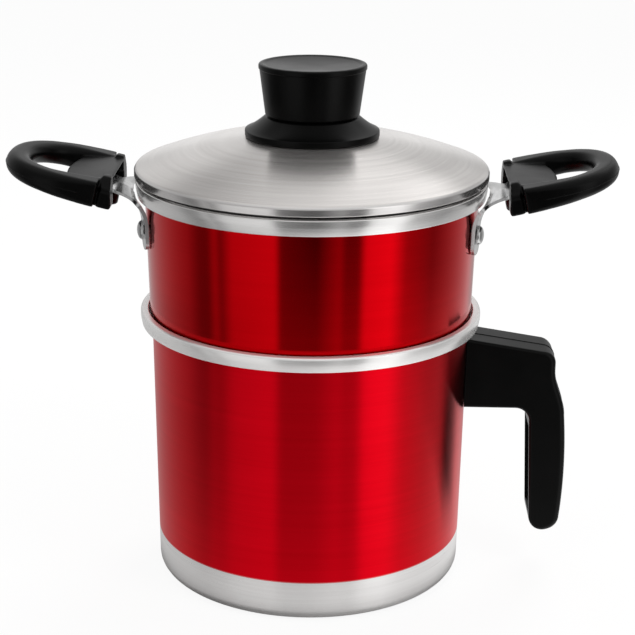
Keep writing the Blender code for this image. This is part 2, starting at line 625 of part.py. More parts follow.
def loop_handle(side):
    place = half_turn(side) @ loop_frame()
    level = half_turn(side) @ Matrix.Translation((loop_origin_x, 0, loop_origin_z))
    handle = loop_bar(side + "_loop_handle", place)

    # Web between the arms, level on top, with its free edge bowed into the finger hole
    web_inner = loop_web_edge()
    half = LOOP_WIDTH / 2 - 0.7 * LOOP_BAR
    bow = [(LOOP_WEB_LENGTH - LOOP_WEB_BULGE * (y / half) ** 2, y)
           for y in (half * (2 * i / 8 - 1) for i in range(9))]
    side_x = LOOP_ARM_START - LOOP_GROOVE
    outline = [(web_inner, -LOOP_BLOCK_TOP_OUTER), (side_x, -LOOP_BLOCK_TOP_OUTER),
               (LOOP_ARM_START + LOOP_GROOVE, -half), *bow,
               (LOOP_ARM_START + LOOP_GROOVE, half), (side_x, LOOP_BLOCK_TOP_OUTER),
               (web_inner, LOOP_BLOCK_TOP_OUTER)]
    web = prism(side + "_web", [outline], LOOP_WEB_TOP - LOOP_WEB_THICKNESS, LOOP_WEB_TOP, None, level)
    boolean(handle, web, 'UNION')

    for name, sign in (("front", -1), ("rear", 1)):
        low_y, high_y = sorted((sign * LOOP_BLOCK_INNER, sign * LOOP_BLOCK_OUTER))
        end = block(f"{side}_{name}_block", (0, low_y, -LOOP_BLOCK_BELOW),
                    (side_x, high_y, LOOP_BLOCK_ABOVE), None, place)
        for vert in end.data.vertices:
            if vert.co.z > 0 and abs(vert.co.y) > LOOP_BLOCK_TOP_OUTER:
                vert.co.y = sign * LOOP_BLOCK_TOP_OUTER
        boolean(handle, rounded(end, LOOP_BLOCK_ROUND, 1), 'UNION')

    # Screw boss under the web: round towards the pot, carried back past the bracket's end
    boss_outline = arc(LOOP_SCREW_OFFSET, 0, LOOP_BOSS_RADIUS, 90, 270, 8)
    boss_outline += [(LOOP_SCREW_OFFSET + LOOP_BOSS_LENGTH, -LOOP_BOSS_RADIUS),
                     (LOOP_SCREW_OFFSET + LOOP_BOSS_LENGTH, LOOP_BOSS_RADIUS)]
    boss = prism(side + "_boss", [boss_outline], -LOOP_BOSS_DEPTH, LOOP_THICKNESS / 8, None, place)
    boolean(handle, boss, 'UNION')

    half = BRACKET_PLATE_WIDTH / 2 + GAP
    slot_half = BRACKET_THICKNESS / 2 + GAP
    slot = block(side + "_slot", (-LOOP_STANDOFF, -half, -BRACKET_PLATE_DROP - slot_half),
                 (BRACKET_PLATE_REACH + GAP, half, -BRACKET_PLATE_DROP + slot_half), None, place)
    at_screw = place @ Matrix.Translation((LOOP_SCREW_OFFSET, 0, 0))
    head_z = -LOOP_BOSS_DEPTH + LOOP_SCREW_HEAD_HEIGHT + 2 * GAP
    bore_top = LOOP_THICKNESS / 4
    bore = rod(side + "_bore", LOOP_SCREW_RADIUS + GAP, -LOOP_BOSS_DEPTH, bore_top,
               FASTENER_STEPS, at_screw)
    sink = rod(side + "_sink", LOOP_SCREW_HEAD_RADIUS + GAP, -LOOP_BOSS_DEPTH - LOOP_BAR / 4, head_z,
               FASTENER_STEPS, at_screw)
    trim = block(side + "_trim", (-LOOP_STANDOFF, -LOOP_WIDTH, -LOOP_WIDTH),
                 (LOOP_END, LOOP_WIDTH, LOOP_WIDTH), None, level)
    for cutter in (slot, bore, sink, trim):
        boolean(handle, cutter)
    screw = pan_screw(side + "_handle_screw", LOOP_SCREW_RADIUS, bore_top - head_z - GAP,
                      LOOP_SCREW_HEAD_RADIUS, LOOP_SCREW_HEAD_HEIGHT,
                      at_screw @ Matrix.Translation((0, 0, head_z - GAP)))
    return [handle, screw]


def loop_web_edge():
    """Where the level web starts, over the end blocks' inner faces."""
    return -LOOP_WEB_TOP * math.sin(LOOP_TILT) + 2 * GAP


def leg_point(radius, z, offset):
    cos, sin = math.cos(BRACKET_LEG_ANGLE), math.sin(BRACKET_LEG_ANGLE)
    return (radius * cos - offset * sin, radius * sin + offset * cos, z)


def bracket_sheet(side):
    """Two legs up the basket's wall that bend outwards round the rim and join in a flat plate."""
    half_leg = BRACKET_LEG_WIDTH / 2
    lift = GAP + BRACKET_THICKNESS / 2
    leg_bottom = basket_band_bottom - BRACKET_LEG_LENGTH
    bend_start = basket_band_bottom - 0.45 * BRACKET_LEG_LENGTH
    rim_side = basket_rim_radius + BRACKET_BEND
    rows = [(basket_wall_radius(leg_bottom) + lift, leg_bottom),
            (basket_wall_radius(bend_start) + lift, bend_start),
            (basket_wall_radius(bend_start) + lift + 0.12 * BASKET_RIM_OUTSET + BRACKET_BEND / 4,
             basket_band_bottom - 0.24 * BRACKET_LEG_LENGTH),
            (rim_side - 1.45 * BRACKET_BEND, basket_band_bottom - 0.15 * BRACKET_LEG_LENGTH),
            (rim_side, basket_band_bottom - BRACKET_THICKNESS / 2)]
    points = []
    for radius, z in rows:
        points.append(leg_point(radius, z, -half_leg))
        points.append(leg_point(radius, z, half_leg))
    faces = [(i, i + 1, i + 3, i + 2) for i in range(0, 2 * len(rows) - 2, 2)]

    # Plate rows: middle, line of the leg's inner edge, outer edge
    last = 2 * len(rows) - 2
    half_plate = BRACKET_PLATE_WIDTH / 2
    points.append((rim_side, 0, rows[-1][1] - GAP))
    into_handle = loop_frame()
    for u in (0, BRACKET_PLATE_REACH):
        for v in (0, 0.62 * half_plate, half_plate):
            points.append(tuple(into_handle @ Vector((u, v, -BRACKET_PLATE_DROP))))
    middle, entry = last + 2, last + 3
    faces += [(middle, last, entry + 1, entry), (last, last + 1, entry + 2, entry + 1),
              (entry, entry + 1, entry + 4, entry + 3), (entry + 1, entry + 2, entry + 5, entry + 4)]
    mesh = bpy.data.meshes.new(side + "_bracket")
    mesh.from_pydata(points, [], faces)
    sheet = add_object(side + "_bracket", mesh, bare_aluminium, half_turn(side))
    mirror = sheet.modifiers.new("Other leg", 'MIRROR')
    mirror.use_axis = (False, True, False)
    mirror.merge_threshold = 0.00001
    solid = sheet.modifiers.new("Sheet", 'SOLIDIFY')
    solid.thickness = BRACKET_THICKNESS
    solid.offset = 0
    solid.use_even_offset = True
    hole = rod(side + "_bracket_hole", LOOP_SCREW_RADIUS + GAP, -LOOP_BOSS_DEPTH, LOOP_BOSS_DEPTH,
               FASTENER_STEPS,
               half_turn(side) @ loop_frame() @ Matrix.Translation((LOOP_SCREW_OFFSET, 0, 0)))
    return boolean(sheet, hole)


def build_basket():
    shell = basket_shell()
    pieces = [shell]
    for side in ("right", "left"):
        sheet = bracket_sheet(side)
        pieces += [sheet, *loop_handle(side)]
        for name, sign in (("front", -1), ("rear", 1)):
            turn = sign * BRACKET_LEG_ANGLE * (1 if side == "right" else -1)
            z = basket_band_bottom - RIVET_DROP
            seat = basket_wall_radius(z) + BRACKET_THICKNESS + 2 * GAP
            place = (half_turn(side) @ Matrix.Rotation(turn, 4, 'Z') @ Matrix.Translation((seat, 0, z))
                     @ Matrix.Rotation(math.radians(90), 4, 'Y'))
            grip = seat - basket_wall_radius(z) + BASKET_WALL + GAP
            pieces.append(rivet(f"{side}_rivet_{name}", grip, place))
            hole = rod(f"{side}_rivet_hole_{name}", RIVET_RADIUS + GAP, -2 * RIVET_HEAD_RADIUS,
                       RIVET_HEAD_RADIUS, FASTENER_STEPS, place)
            boolean(shell, hole)
            boolean(sheet, hole)
    carry(frame("basket_frame", Matrix.Translation((0, 0, basket_bottom))), pieces)


# Steam plate

def build_plate():
    top = plate_bottom + PLATE_THICKNESS
    neck = 0.45 * PLATE_KNOB_RADIUS
    stem = RIVET_RADIUS
    outlines = [arc(0, 0, plate_radius, 0, 360, SHELL_STEPS)[:-1],
                arc(0, 0, stem + GAP, 0, 360, FASTENER_STEPS)[:-1]]
    for ring in range(1, PLATE_RINGS + 1):
        for i in range(6 * ring):
            angle = 2 * math.pi * i / (6 * ring)
            distance = ring * PLATE_RING_STEP
            outlines.append(arc(distance * math.cos(angle), distance * math.sin(angle), PLATE_HOLE_RADIUS,
                                0, 360, 8)[:-1])
    plate = prism("steam_plate", outlines, plate_bottom, top, bare_aluminium)
    seat = top + GAP
    knob_top = seat + PLATE_KNOB_HEIGHT
    head_low = knob_top - 0.45 * PLATE_KNOB_HEIGHT
    tail = plate_bottom - GAP
    profile = [(0, knob_top), (0.75 * PLATE_KNOB_RADIUS, knob_top - 0.06 * PLATE_KNOB_HEIGHT),
               (PLATE_KNOB_RADIUS, knob_top - 0.2 * PLATE_KNOB_HEIGHT), (PLATE_KNOB_RADIUS, head_low),
               (neck, head_low - 0.1 * PLATE_KNOB_HEIGHT), (neck, seat), (stem, seat), (stem, tail),
               (RIVET_TAIL_RADIUS, tail), (0.8 * RIVET_TAIL_RADIUS, tail - RIVET_TAIL_HEIGHT),
               (0, tail - RIVET_TAIL_HEIGHT)]
    knob = turned("plate_knob", profile, FASTENER_STEPS + 4, bare_aluminium)
    carry(frame("plate_frame", Matrix.Translation((0, 0, plate_bottom))), [plate, knob])


# Lid and knob

def lid_shell():
    spigot_radius = basket_top_radius - BASKET_WALL - SPIGOT_CLEARANCE
    spigot_bore = spigot_radius - LID_SPIGOT_WALL
    seat_top = lid_seat_z + LID_WALL
    hollow_radius = dome_radius - LID_WALL
    radii = [knob_hole_radius + (dome_radius - knob_hole_radius) * i / 6 for i in range(7)]
    outside = [(r, dome_height(r)) for r in radii]
    spigot_bottom = lid_seat_z - LID_SPIGOT_DEPTH
    seat_edge = spigot_radius + LID_SEAT_WIDTH
    outside += [(lid_radius - 0.3 * LID_SHOULDER, lid_rim_top + 0.35 * LID_SHOULDER),
                (lid_radius, lid_rim_top), (lid_radius, lid_rim_bottom), (seat_edge, lid_rim_bottom),
                (seat_edge, lid_seat_z), (spigot_radius, lid_seat_z), (spigot_radius, spigot_bottom),
                (spigot_bore, spigot_bottom), (spigot_bore, seat_top), (hollow_radius, seat_top)]
    inner_radii = [hollow_radius - (hollow_radius - knob_hole_radius) * i / 5 for i in range(6)]
    inside = [(r, dome_height(r) - LID_WALL) for r in inner_radii]
    return turned("lid_shell", outside + inside, SHELL_STEPS, bare_aluminium)


def knob_base(seat_z, base_top):
    radii = [KNOB_FLANGE_RADIUS * i / 3 for i in (3, 2, 1)]
    under = [(r, dome_height(r) + GAP) for r in (*radii, knob_hole_radius)]
    edge_top = seat_z + KNOB_FLANGE_EDGE
    rise = base_top - edge_top
    run = KNOB_FLANGE_RADIUS - KNOB_NECK_RADIUS
    flare = [(KNOB_NECK_RADIUS + run * share, edge_top + rise * (1 - share) ** 1.3)
             for share in (0, 0.2, 0.45, 0.7, 0.95)]
    profile = [(knob_hole_radius, base_top), *flare,
               (KNOB_FLANGE_RADIUS, edge_top - 0.1 * KNOB_FLANGE_EDGE), *under]
    return turned("knob_base", profile, KNOB_STEPS, black_bakelite)


def knob_grip(foot, top):
    bore = KNOB_INSERT_RADIUS + GAP
    bore_top = foot + KNOB_INSERT_LENGTH + 2 * GAP
    chamfer = 1.1 * MM
    bead_low = top - 2.4 * MM
    side_top = KNOB_GRIP_TOP_RADIUS - KNOB_BEAD
    profile = [(0, top - KNOB_BEAD), (KNOB_GRIP_TOP_RADIUS - 3 * chamfer, top - KNOB_BEAD),
               (KNOB_GRIP_TOP_RADIUS - 1.4 * chamfer, top),
               (KNOB_GRIP_TOP_RADIUS - 0.4 * chamfer, top - 0.5 * KNOB_BEAD),
               (KNOB_GRIP_TOP_RADIUS, top - chamfer), (KNOB_GRIP_TOP_RADIUS, bead_low + KNOB_BEAD),
               (side_top, bead_low), (KNOB_GRIP_FOOT_RADIUS, foot + chamfer),
               (KNOB_GRIP_FOOT_RADIUS - chamfer, foot), (bore, foot), (bore, bore_top), (0, bore_top)]
    return turned("knob_grip", profile, KNOB_STEPS, black_bakelite)


def build_lid():
    seat_z = dome_height(KNOB_FLANGE_RADIUS) + GAP
    base_top = seat_z + KNOB_BASE_HEIGHT
    foot = base_top + GAP
    top = foot + KNOB_GRIP_HEIGHT
    insert_low, insert_high = foot + GAP, foot + GAP + KNOB_INSERT_LENGTH
    insert = turned("knob_insert", [(knob_hole_radius, insert_high), (KNOB_INSERT_RADIUS, insert_high),
                                    (KNOB_INSERT_RADIUS, insert_low), (knob_hole_radius, insert_low)],
                    FASTENER_STEPS + 4, brass)
    washer_top = dome_height(KNOB_WASHER_RADIUS) - LID_WALL - GAP
    washer_low = washer_top - KNOB_WASHER_THICKNESS
    washer = turned("knob_washer", [(knob_hole_radius, washer_top), (KNOB_WASHER_RADIUS, washer_top),
                                    (KNOB_WASHER_RADIUS, washer_low), (knob_hole_radius, washer_low)],
                    FASTENER_STEPS + 4, bright_steel)
    head_seat = washer_low - GAP
    screw = pan_screw("knob_screw", KNOB_SCREW_RADIUS, insert_high - 2 * GAP - head_seat,
                      KNOB_SCREW_HEAD_RADIUS, KNOB_SCREW_HEAD_HEIGHT,
                      Matrix.Translation((0, 0, head_seat)))
    pieces = [lid_shell(), knob_base(seat_z, base_top), knob_grip(foot, top), insert, washer, screw]
    carry(frame("lid_frame", Matrix.Translation((0, 0, lid_seat_z))), pieces)


build_pot()
build_basket()
build_plate()
build_lid()
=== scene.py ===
import math

import bmesh
import bpy
from mathutils import Matrix, Vector


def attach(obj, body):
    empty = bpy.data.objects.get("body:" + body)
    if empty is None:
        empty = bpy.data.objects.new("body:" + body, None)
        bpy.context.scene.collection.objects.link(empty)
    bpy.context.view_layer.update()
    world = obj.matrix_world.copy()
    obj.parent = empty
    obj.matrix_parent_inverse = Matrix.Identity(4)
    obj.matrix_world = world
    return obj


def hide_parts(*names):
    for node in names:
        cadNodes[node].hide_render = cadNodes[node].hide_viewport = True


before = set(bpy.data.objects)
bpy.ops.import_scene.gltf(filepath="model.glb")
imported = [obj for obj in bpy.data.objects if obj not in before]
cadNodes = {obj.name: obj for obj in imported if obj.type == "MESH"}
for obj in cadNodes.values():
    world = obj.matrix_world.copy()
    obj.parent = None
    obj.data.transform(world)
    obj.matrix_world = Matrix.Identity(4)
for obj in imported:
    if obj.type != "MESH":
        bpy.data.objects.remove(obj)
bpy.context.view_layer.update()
mm = 0.001  # pieces are modelled in millimetres and scaled when they are finished


# Node arithmetic: a wire is a socket that Python's operators can join to others
class Wire:
    def __init__(self, graph, node, output=0):
        self.graph = graph
        self.node = node
        self.socket = node.outputs[output] if node.outputs else None

    def out(self, output):
        return Wire(self.graph, self.node, output)

    def sum(self, operation, *values):
        return self.graph.add('ShaderNodeMath', {"operation": operation}, dict(enumerate(values)))

    def __add__(self, other):
        return self.sum('ADD', self, other)

    def __radd__(self, other):
        return self.sum('ADD', other, self)

    def __sub__(self, other):
        return self.sum('SUBTRACT', self, other)

    def __rsub__(self, other):
        return self.sum('SUBTRACT', other, self)

    def __mul__(self, other):
        return self.sum('MULTIPLY', self, other)

    def __rmul__(self, other):
        return self.sum('MULTIPLY', other, self)

    def __pow__(self, other):
        return self.sum('POWER', self, other)

    def __gt__(self, other):
        return self.sum('GREATER_THAN', self, other)

    def __lt__(self, other):
        return self.sum('LESS_THAN', self, other)

    def size(self):
        return self.sum('ABSOLUTE', self)


class Graph:
    def __init__(self, tree):
        self.tree = tree

    def add(self, kind, settings=None, inputs=None, output=0):
        node = self.tree.nodes.new(kind)
        for key, value in (settings or {}).items():
            if key == "stops":
                self.setStops(node.color_ramp, value)
            else:
                setattr(node, key, value)
        self.fill(node, inputs or {})
        return Wire(self, node, output)

    def fill(self, node, inputs):
        for key, value in inputs.items():
            if isinstance(value, Wire):
                self.tree.links.new(value.socket, node.inputs[key])
            else:
                node.inputs[key].default_value = value

    def setStops(self, ramp, stops):
        ramp.elements[0].position = stops[0][0]
        ramp.elements[1].position = stops[-1][0]
        for position, _ in stops[1:-1]:
            ramp.elements.new(position)
        for element, (_, level) in zip(ramp.elements, stops):
            element.color = rgba(level)

    def place(self):  # object coordinates, apart
        spot = self.add('ShaderNodeTexCoord', output="Object")
        parts = self.add('ShaderNodeSeparateXYZ', inputs={0: spot})
        return parts, parts.out(1), parts.out(2)

    def noise(self, spot, rates, detail=2.0, rough=0.5):  # rates: cells to the metre along each axis
        scaled = self.add('ShaderNodeCombineXYZ', inputs={i: spot[i] * rates[i] for i in range(3)})
        return self.add('ShaderNodeTexNoise', inputs={"Vector": scaled, "Scale": 1.0, "Detail": detail,
                                                      "Roughness": rough})

    def ease(self, value, low, high):  # 0 below low, 1 above high
        return self.add('ShaderNodeMapRange', {"interpolation_type": 'SMOOTHSTEP'},
                        {"Value": value, "From Min": low, "From Max": high})

    def mix(self, share, first, second):
        return self.add('ShaderNodeMix', {"data_type": 'RGBA'},
                        {0: share, 6: rgba(first), 7: rgba(second)}, 2)

    def bump(self, height, distance, strength):
        return self.add('ShaderNodeBump', inputs={"Height": height, "Distance": distance,
                                                  "Strength": strength})

    def ramp(self, stops, value):
        return self.add('ShaderNodeValToRGB', {"stops": stops}, {0: value})

    def glow(self, shade):
        return self.add('ShaderNodeEmission', inputs={"Color": rgba(shade), "Strength": 1.0})

    def blend(self, share, first, second):
        return self.add('ShaderNodeMixShader', inputs={0: share, 1: first, 2: second})

    def circle(self, radius, steps):
        return self.add('GeometryNodeCurvePrimitiveCircle', inputs={"Resolution": steps, "Radius": radius})

    def realized(self, shape):
        return self.add('GeometryNodeRealizeInstances', inputs={0: shape})

    def painted(self, shape, finish, chosen=True):
        return self.add('GeometryNodeSetMaterial', inputs={"Geometry": shape, "Selection": chosen,
                                                           "Material": finish})


def rgba(shade):  # a wire stays as it is, and a level or a triple becomes a colour
    if isinstance(shade, Wire):
        return shade
    return (*shade, 1) if isinstance(shade, tuple) else (shade, shade, shade, 1)


def newFinish(name, build):
    made = bpy.data.materials.new(name)
    made.use_nodes = True
    graph = Graph(made.node_tree)
    graph.fill(made.node_tree.nodes["Principled BSDF"], build(graph))
    return made


# Finishes: noise at so many cells to the metre, bumps so many millimetres high
turning = {"fine": (14, 14, 3600), "wide": (9, 9, 420), "rough": 0.65, "cone": 0.77, "rotation": 0.25}
coating = {"cloud": (26, 26, 26), "cloudShare": 0.3, "thin": (0.85, 0.35, 0.36), "thinShare": 0.5,
           "thinFrom": 0.25, "thinTo": 0.6, "glossRange": 0.06, "bump": 0.004, "bumpShare": 0.6}
spinning = {"cloud": (30, 30, 30), "cloudShare": 0.3, "lineShare": 0.9, "bandShare": 0.7, "glossRange": 0.14,
            "bump": 0.006, "bumpShare": 0.7}


def lathed(graph):  # marks that run round the pot's axis, on walls and on flats alike
    spot = graph.place()
    x, y, z = spot
    across = z - (x * x + y * y) ** 0.5 * turning["cone"]
    lines = graph.noise((x, y, across), turning["fine"], 3.0, turning["rough"])
    bands = graph.noise((x, y, across), turning["wide"])
    return lines, bands, spot


def lacquer(tone):  # red metal, thinner at the edge of the coat
    def build(graph):
        lines, bands, spot = lathed(graph)
        cloud = graph.noise(spot, coating["cloud"])
        depth = (0.5 + (lines - 0.5) * tone["streaks"] + (bands - 0.5) * tone["streaks"]
                 + (cloud - 0.5) * coating["cloudShare"])
        fromEdge = (spot[2] - tone["edge"] * mm).size()
        edge = 1 - graph.ease(fromEdge, coating["thinFrom"] * mm, coating["thinTo"] * mm)
        color = graph.mix(depth, tone["deep"], tone["bright"])
        return {"Base Color": graph.mix(edge * coating["thinShare"], color, coating["thin"]),
                "Roughness": tone["roughness"] + (lines - 0.5) * coating["glossRange"],
                "Metallic": 1.0, "Anisotropic": tone["anisotropy"],
                "Anisotropic Rotation": turning["rotation"],
                "Normal": graph.bump(lines, coating["bump"] * mm, coating["bumpShare"])}
    return build


def brushed(deep, bright, roughness, anisotropy, metallic):
    def build(graph):
        lines, bands, spot = lathed(graph)
        cloud = graph.noise(spot, spinning["cloud"])
        shade = (0.5 + (lines - 0.5) * spinning["lineShare"] + (bands - 0.5) * spinning["bandShare"]
                 + (cloud - 0.5) * spinning["cloudShare"])
        return {"Base Color": graph.mix(shade, deep, bright),
                "Roughness": roughness + (lines - 0.5) * spinning["glossRange"],
                "Metallic": metallic, "Anisotropic": anisotropy,
                "Anisotropic Rotation": turning["rotation"],
                "Normal": graph.bump(lines, spinning["bump"] * mm, spinning["bumpShare"])}
    return build


def bakelite(graph):
    spot = graph.place()
    grain = graph.noise(spot, (2600, 2600, 2600), 3.0)
    cloud = graph.noise(spot, (70, 70, 70))
    return {"Base Color": graph.mix(cloud, 0.0006, (0.0018, 0.0018, 0.0017)),
            "Roughness": 0.31 + (cloud - 0.5) * 0.12 + (grain - 0.5) * 0.08,
            "Specular IOR Level": 0.12, "Normal": graph.bump(grain, 0.008 * mm, 0.5)}


def sheetMetal(graph):
    spot = graph.place()
    grain = graph.noise(spot, (900, 160, 900), 3.0)
    cloud = graph.noise(spot, (160, 160, 160))
    return {"Base Color": graph.mix(cloud, 0.55, 0.8), "Metallic": 1.0,
            "Roughness": 0.24 + (grain - 0.5) * 0.16, "Normal": graph.bump(grain, 0.012 * mm, 0.6)}


def brightSteel(graph):
    cloud = graph.noise(graph.place(), (500, 500, 500), 3.0)
    return {"Base Color": graph.mix(cloud, 0.42, 0.68), "Metallic": 1.0,
            "Roughness": 0.2 + (cloud - 0.5) * 0.14, "Normal": graph.bump(cloud, 0.02 * mm, 0.4)}


def turnedBrass(graph):
    rings = graph.noise(graph.place(), (40, 40, 2400), 3.0)
    return {"Base Color": graph.mix(rings, (0.52, 0.34, 0.11), (0.78, 0.56, 0.24)), "Metallic": 1.0,
            "Roughness": 0.28 + (rings - 0.5) * 0.2, "Normal": graph.bump(rings, 0.01 * mm, 0.5)}


potTone = {"deep": (0.7, 0.0, 0.006), "bright": (0.95, 0.002, 0.014), "roughness": 0.3,
           "anisotropy": 1.0, "streaks": 0.5, "edge": 18.6}
basketTone = {"deep": (0.55, 0.0, 0.003), "bright": (0.8, 0.001, 0.006), "roughness": 0.14,
              "anisotropy": 0.7, "streaks": 0.3, "edge": 177.9}
# Bare aluminium: its darker and lighter marks, roughness, anisotropy and how metallic it is
bareTones = {"pot bare aluminium": ((0.76, 0.74, 0.73), (0.96, 0.95, 0.94), 0.3, 0.8, 0.86),
             "rim bright aluminium": ((0.78, 0.77, 0.76), (0.97, 0.96, 0.95), 0.22, 0.6, 0.9),
             "pot rim satin aluminium": ((0.86, 0.85, 0.84), (0.98, 0.97, 0.96), 0.24, 0.6, 0.68),
             "dome satin aluminium": ((0.66, 0.63, 0.61), (0.92, 0.89, 0.87), 0.24, 0.85, 0.95),
             "lid edge aluminium": ((0.7, 0.68, 0.67), (0.9, 0.88, 0.87), 0.2, 0.5, 0.95),
             "inside spun aluminium": ((0.62, 0.61, 0.6), (0.82, 0.81, 0.8), 0.4, 0.5, 0.85)}
potRed = newFinish("pot red lacquer", lacquer(potTone))
basketRed = newFinish("basket red lacquer", lacquer(basketTone))
footBare, rimBare, potRimBare, domeBare, edgeBare, insideBare = (
    newFinish(name, brushed(*tone)) for name, tone in bareTones.items())
blackBakelite = newFinish("black bakelite", bakelite)
bracketMetal = newFinish("bracket sheet aluminium", sheetMetal)
boltSteel = newFinish("bright steel fasteners", brightSteel)
insertBrass = newFinish("turned brass insert", turnedBrass)
print("finishes made")


# Turned pieces: a profile of (radius, z, corner radius) swept round the axis by Geometry Nodes
def filleted(corners, closed, steps):
    points = []
    for i, (radius, z, bend) in enumerate(corners):
        here = Vector((radius, z))
        if not bend or (not closed and i in (0, len(corners) - 1)):
            points.append(here)
            continue
        back = Vector(corners[i - 1][:2]) - here
        ahead = Vector(corners[(i + 1) % len(corners)][:2]) - here
        half = back.angle(ahead) / 2
        reach = min(bend / math.tan(half), 0.49 * back.length, 0.49 * ahead.length)
        centre = here + (back.normalized() + ahead.normalized()).normalized() * reach / math.cos(half)
        first = here + back.normalized() * reach - centre
        last = here + ahead.normalized() * reach - centre
        turn = first.angle(last)
        for step in range(steps + 1):
            share = step / steps
            arm = (first * math.sin((1 - share) * turn) + last * math.sin(share * turn)) / math.sin(turn)
            points.append(centre + arm)
    return points


def sockets(tree, inputs):
    for name, kind in inputs:
        tree.interface.new_socket(name=name, in_out='INPUT', socket_type='NodeSocket' + kind)
    tree.interface.new_socket(name="Geometry", in_out='OUTPUT', socket_type='NodeSocketGeometry')
    graph = Graph(tree)
    return graph, graph.add('NodeGroupInput')


def turnedTree():
    tree = bpy.data.node_groups.new("turned piece", 'GeometryNodeTree')
    graph, given = sockets(tree, [("Geometry", 'Geometry'), ("Steps", 'Int'), ("Coat From", 'Float'),
                                  ("Coat To", 'Float'), ("Flattest", 'Float'), ("Coat", 'Material'),
                                  ("Bare", 'Material'), ("Inside", 'Material')])
    hub = 10.0  # radius of the circle that the profile follows, moved in by as much
    profile = graph.add('GeometryNodeMeshToCurve', inputs={0: given.out("Geometry")})
    profile = graph.add('GeometryNodeTransform', inputs={"Geometry": profile, "Translation": (-hub, 0, 0)})
    circle = graph.circle(hub, given.out("Steps"))
    circle = graph.add('GeometryNodeSetCurveNormal', {"mode": 'Z_UP'}, {0: circle})
    swept = graph.add('GeometryNodeCurveToMesh', inputs={"Curve": circle, "Profile Curve": profile})
    swept = graph.add('GeometryNodeMergeByDistance', inputs={"Geometry": swept, "Distance": 0.0005})
    swept = graph.add('GeometryNodeSetShadeSmooth', inputs={"Geometry": swept, "Shade Smooth": True})
    spot = graph.add('ShaderNodeSeparateXYZ', inputs={0: graph.add('GeometryNodeInputPosition')})
    faces = graph.add('ShaderNodeSeparateXYZ', inputs={0: graph.add('GeometryNodeInputNormal')})
    outward = spot * faces + spot.out(1) * faces.out(1)
    level = spot.out(2)
    flattest = given.out("Flattest")  # radius times a face's outward share, past which it is a wall's
    coated = (level > given.out("Coat From")) * (level < given.out("Coat To")) * (outward > flattest)
    hidden = (outward < flattest * -1) * (level < given.out("Coat To"))
    made = graph.painted(graph.realized(swept), given.out("Bare"))
    made = graph.painted(made, given.out("Inside"), hidden)
    made = graph.painted(made, given.out("Coat"), coated)
    graph.add('NodeGroupOutput', inputs={"Geometry": made})
    return tree


turnedGroup = turnedTree()


def linked(name, data):
    made = bpy.data.objects.new(name, data)
    bpy.context.scene.collection.objects.link(made)
    return made


def withTree(name, mesh, tree, values):
    live = linked(name, mesh)
    modifier = live.modifiers.new("nodes", 'NODES')
    modifier.node_group = tree
    for item in tree.interface.items_tree:
        if item.in_out == 'INPUT' and item.name in values:
            modifier[item.identifier] = values[item.name]
    return live


def plainMesh(live):
    bpy.context.view_layer.update()
    graph = bpy.context.evaluated_depsgraph_get()
    mesh = bpy.data.meshes.new_from_object(live.evaluated_get(graph), preserve_all_data_layers=True,
                                           depsgraph=graph)
    mesh.transform(live.matrix_world)
    bpy.data.objects.remove(live)
    return mesh


def finished(name, mesh, body, replaced, finish=None):
    if finish:
        mesh.materials.clear()
        mesh.materials.append(finish)
    mesh.transform(Matrix.Scale(mm, 4))
    piece = linked(name, mesh)
    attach(piece, body)
    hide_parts(*replaced)
    return piece


beyond = 1000.0  # past every piece


def turned(name, corners, closed, steps, coat, bare=None, inside=None, band=(-beyond, beyond), bends=5,
           flattest=10.0):
    points = filleted(corners, closed, bends)
    turns = sum(p.cross(q) for p, q in zip(points, points[1:] + points[:1]))
    if turns > 0:  # one way round, so that the swept faces look outwards
        points.reverse()
    mesh = bpy.data.meshes.new(name)
    edges = [(i, i + 1) for i in range(len(points) - 1)]
    if closed:
        edges.append((len(points) - 1, 0))
    mesh.from_pydata([(p.x, -p.y, 0) for p in points], edges, [])
    live = withTree(name, mesh, turnedGroup, {"Steps": steps, "Coat From": band[0], "Coat To": band[1],
                                              "Flattest": flattest, "Coat": coat, "Bare": bare or coat,
                                              "Inside": inside or bare or coat})
    return plainMesh(live)


def spaced(first, last, count):
    return [first + (last - first) * i / count for i in range(count + 1)]


def upsetRim(piece, wall):  # top of the bore, and the outside down to the step where the wall's coat ends
    return [(piece["bore"], piece["top"], piece["boreEdge"]), (piece["rim"], piece["top"], piece["rimEdge"]),
            (piece["rim"], piece["band"] + piece["rollHeight"], piece["roll"]),
            (piece["rim"] - piece["tuck"], piece["band"], 0.5), (wall, piece["band"], 0.25)]


# Pot
pot = {"foot": 70.6, "taper": 1.8, "wall": 1.5, "base": 3.0, "corner": 5.0, "innerCorner": 3.5,
       "top": 125.4, "band": 118.8, "bareBand": 18.6, "rim": 77.6, "rimEdge": 1.3, "rollHeight": 3.6,
       "roll": 9.0, "tuck": 0.6, "bore": 74.0, "boreEdge": 0.6, "ledge": 120.3, "ledgeEdge": 0.4}
shellSteps = 256


def potWall(z):
    return pot["foot"] + pot["taper"] * z / pot["band"]


potProfile = [(0, pot["base"], 0), (pot["foot"] - pot["wall"], pot["base"], pot["innerCorner"]),
              (potWall(pot["ledge"]) - pot["wall"], pot["ledge"], pot["ledgeEdge"]),
              (pot["bore"], pot["ledge"], pot["ledgeEdge"]), *upsetRim(pot, potWall(pot["band"])),
              (potWall(pot["bareBand"]), pot["bareBand"], 0), (pot["foot"], 0, pot["corner"]), (0, 0, 0)]
potMesh = turned("potShell", potProfile, False, shellSteps, potRed, footBare, insideBare,
                 (pot["bareBand"], pot["band"]), 7)
potMesh.materials.append(potRimBare)
footSlot = potMesh.materials.find(footBare.name)
rimSlot = potMesh.materials.find(potRimBare.name)
for face in potMesh.polygons:
    if face.material_index == footSlot and face.center.z > pot["band"] - 0.1:
        face.material_index = rimSlot
finished("potShell", potMesh, "pot", ["pot_shell"])

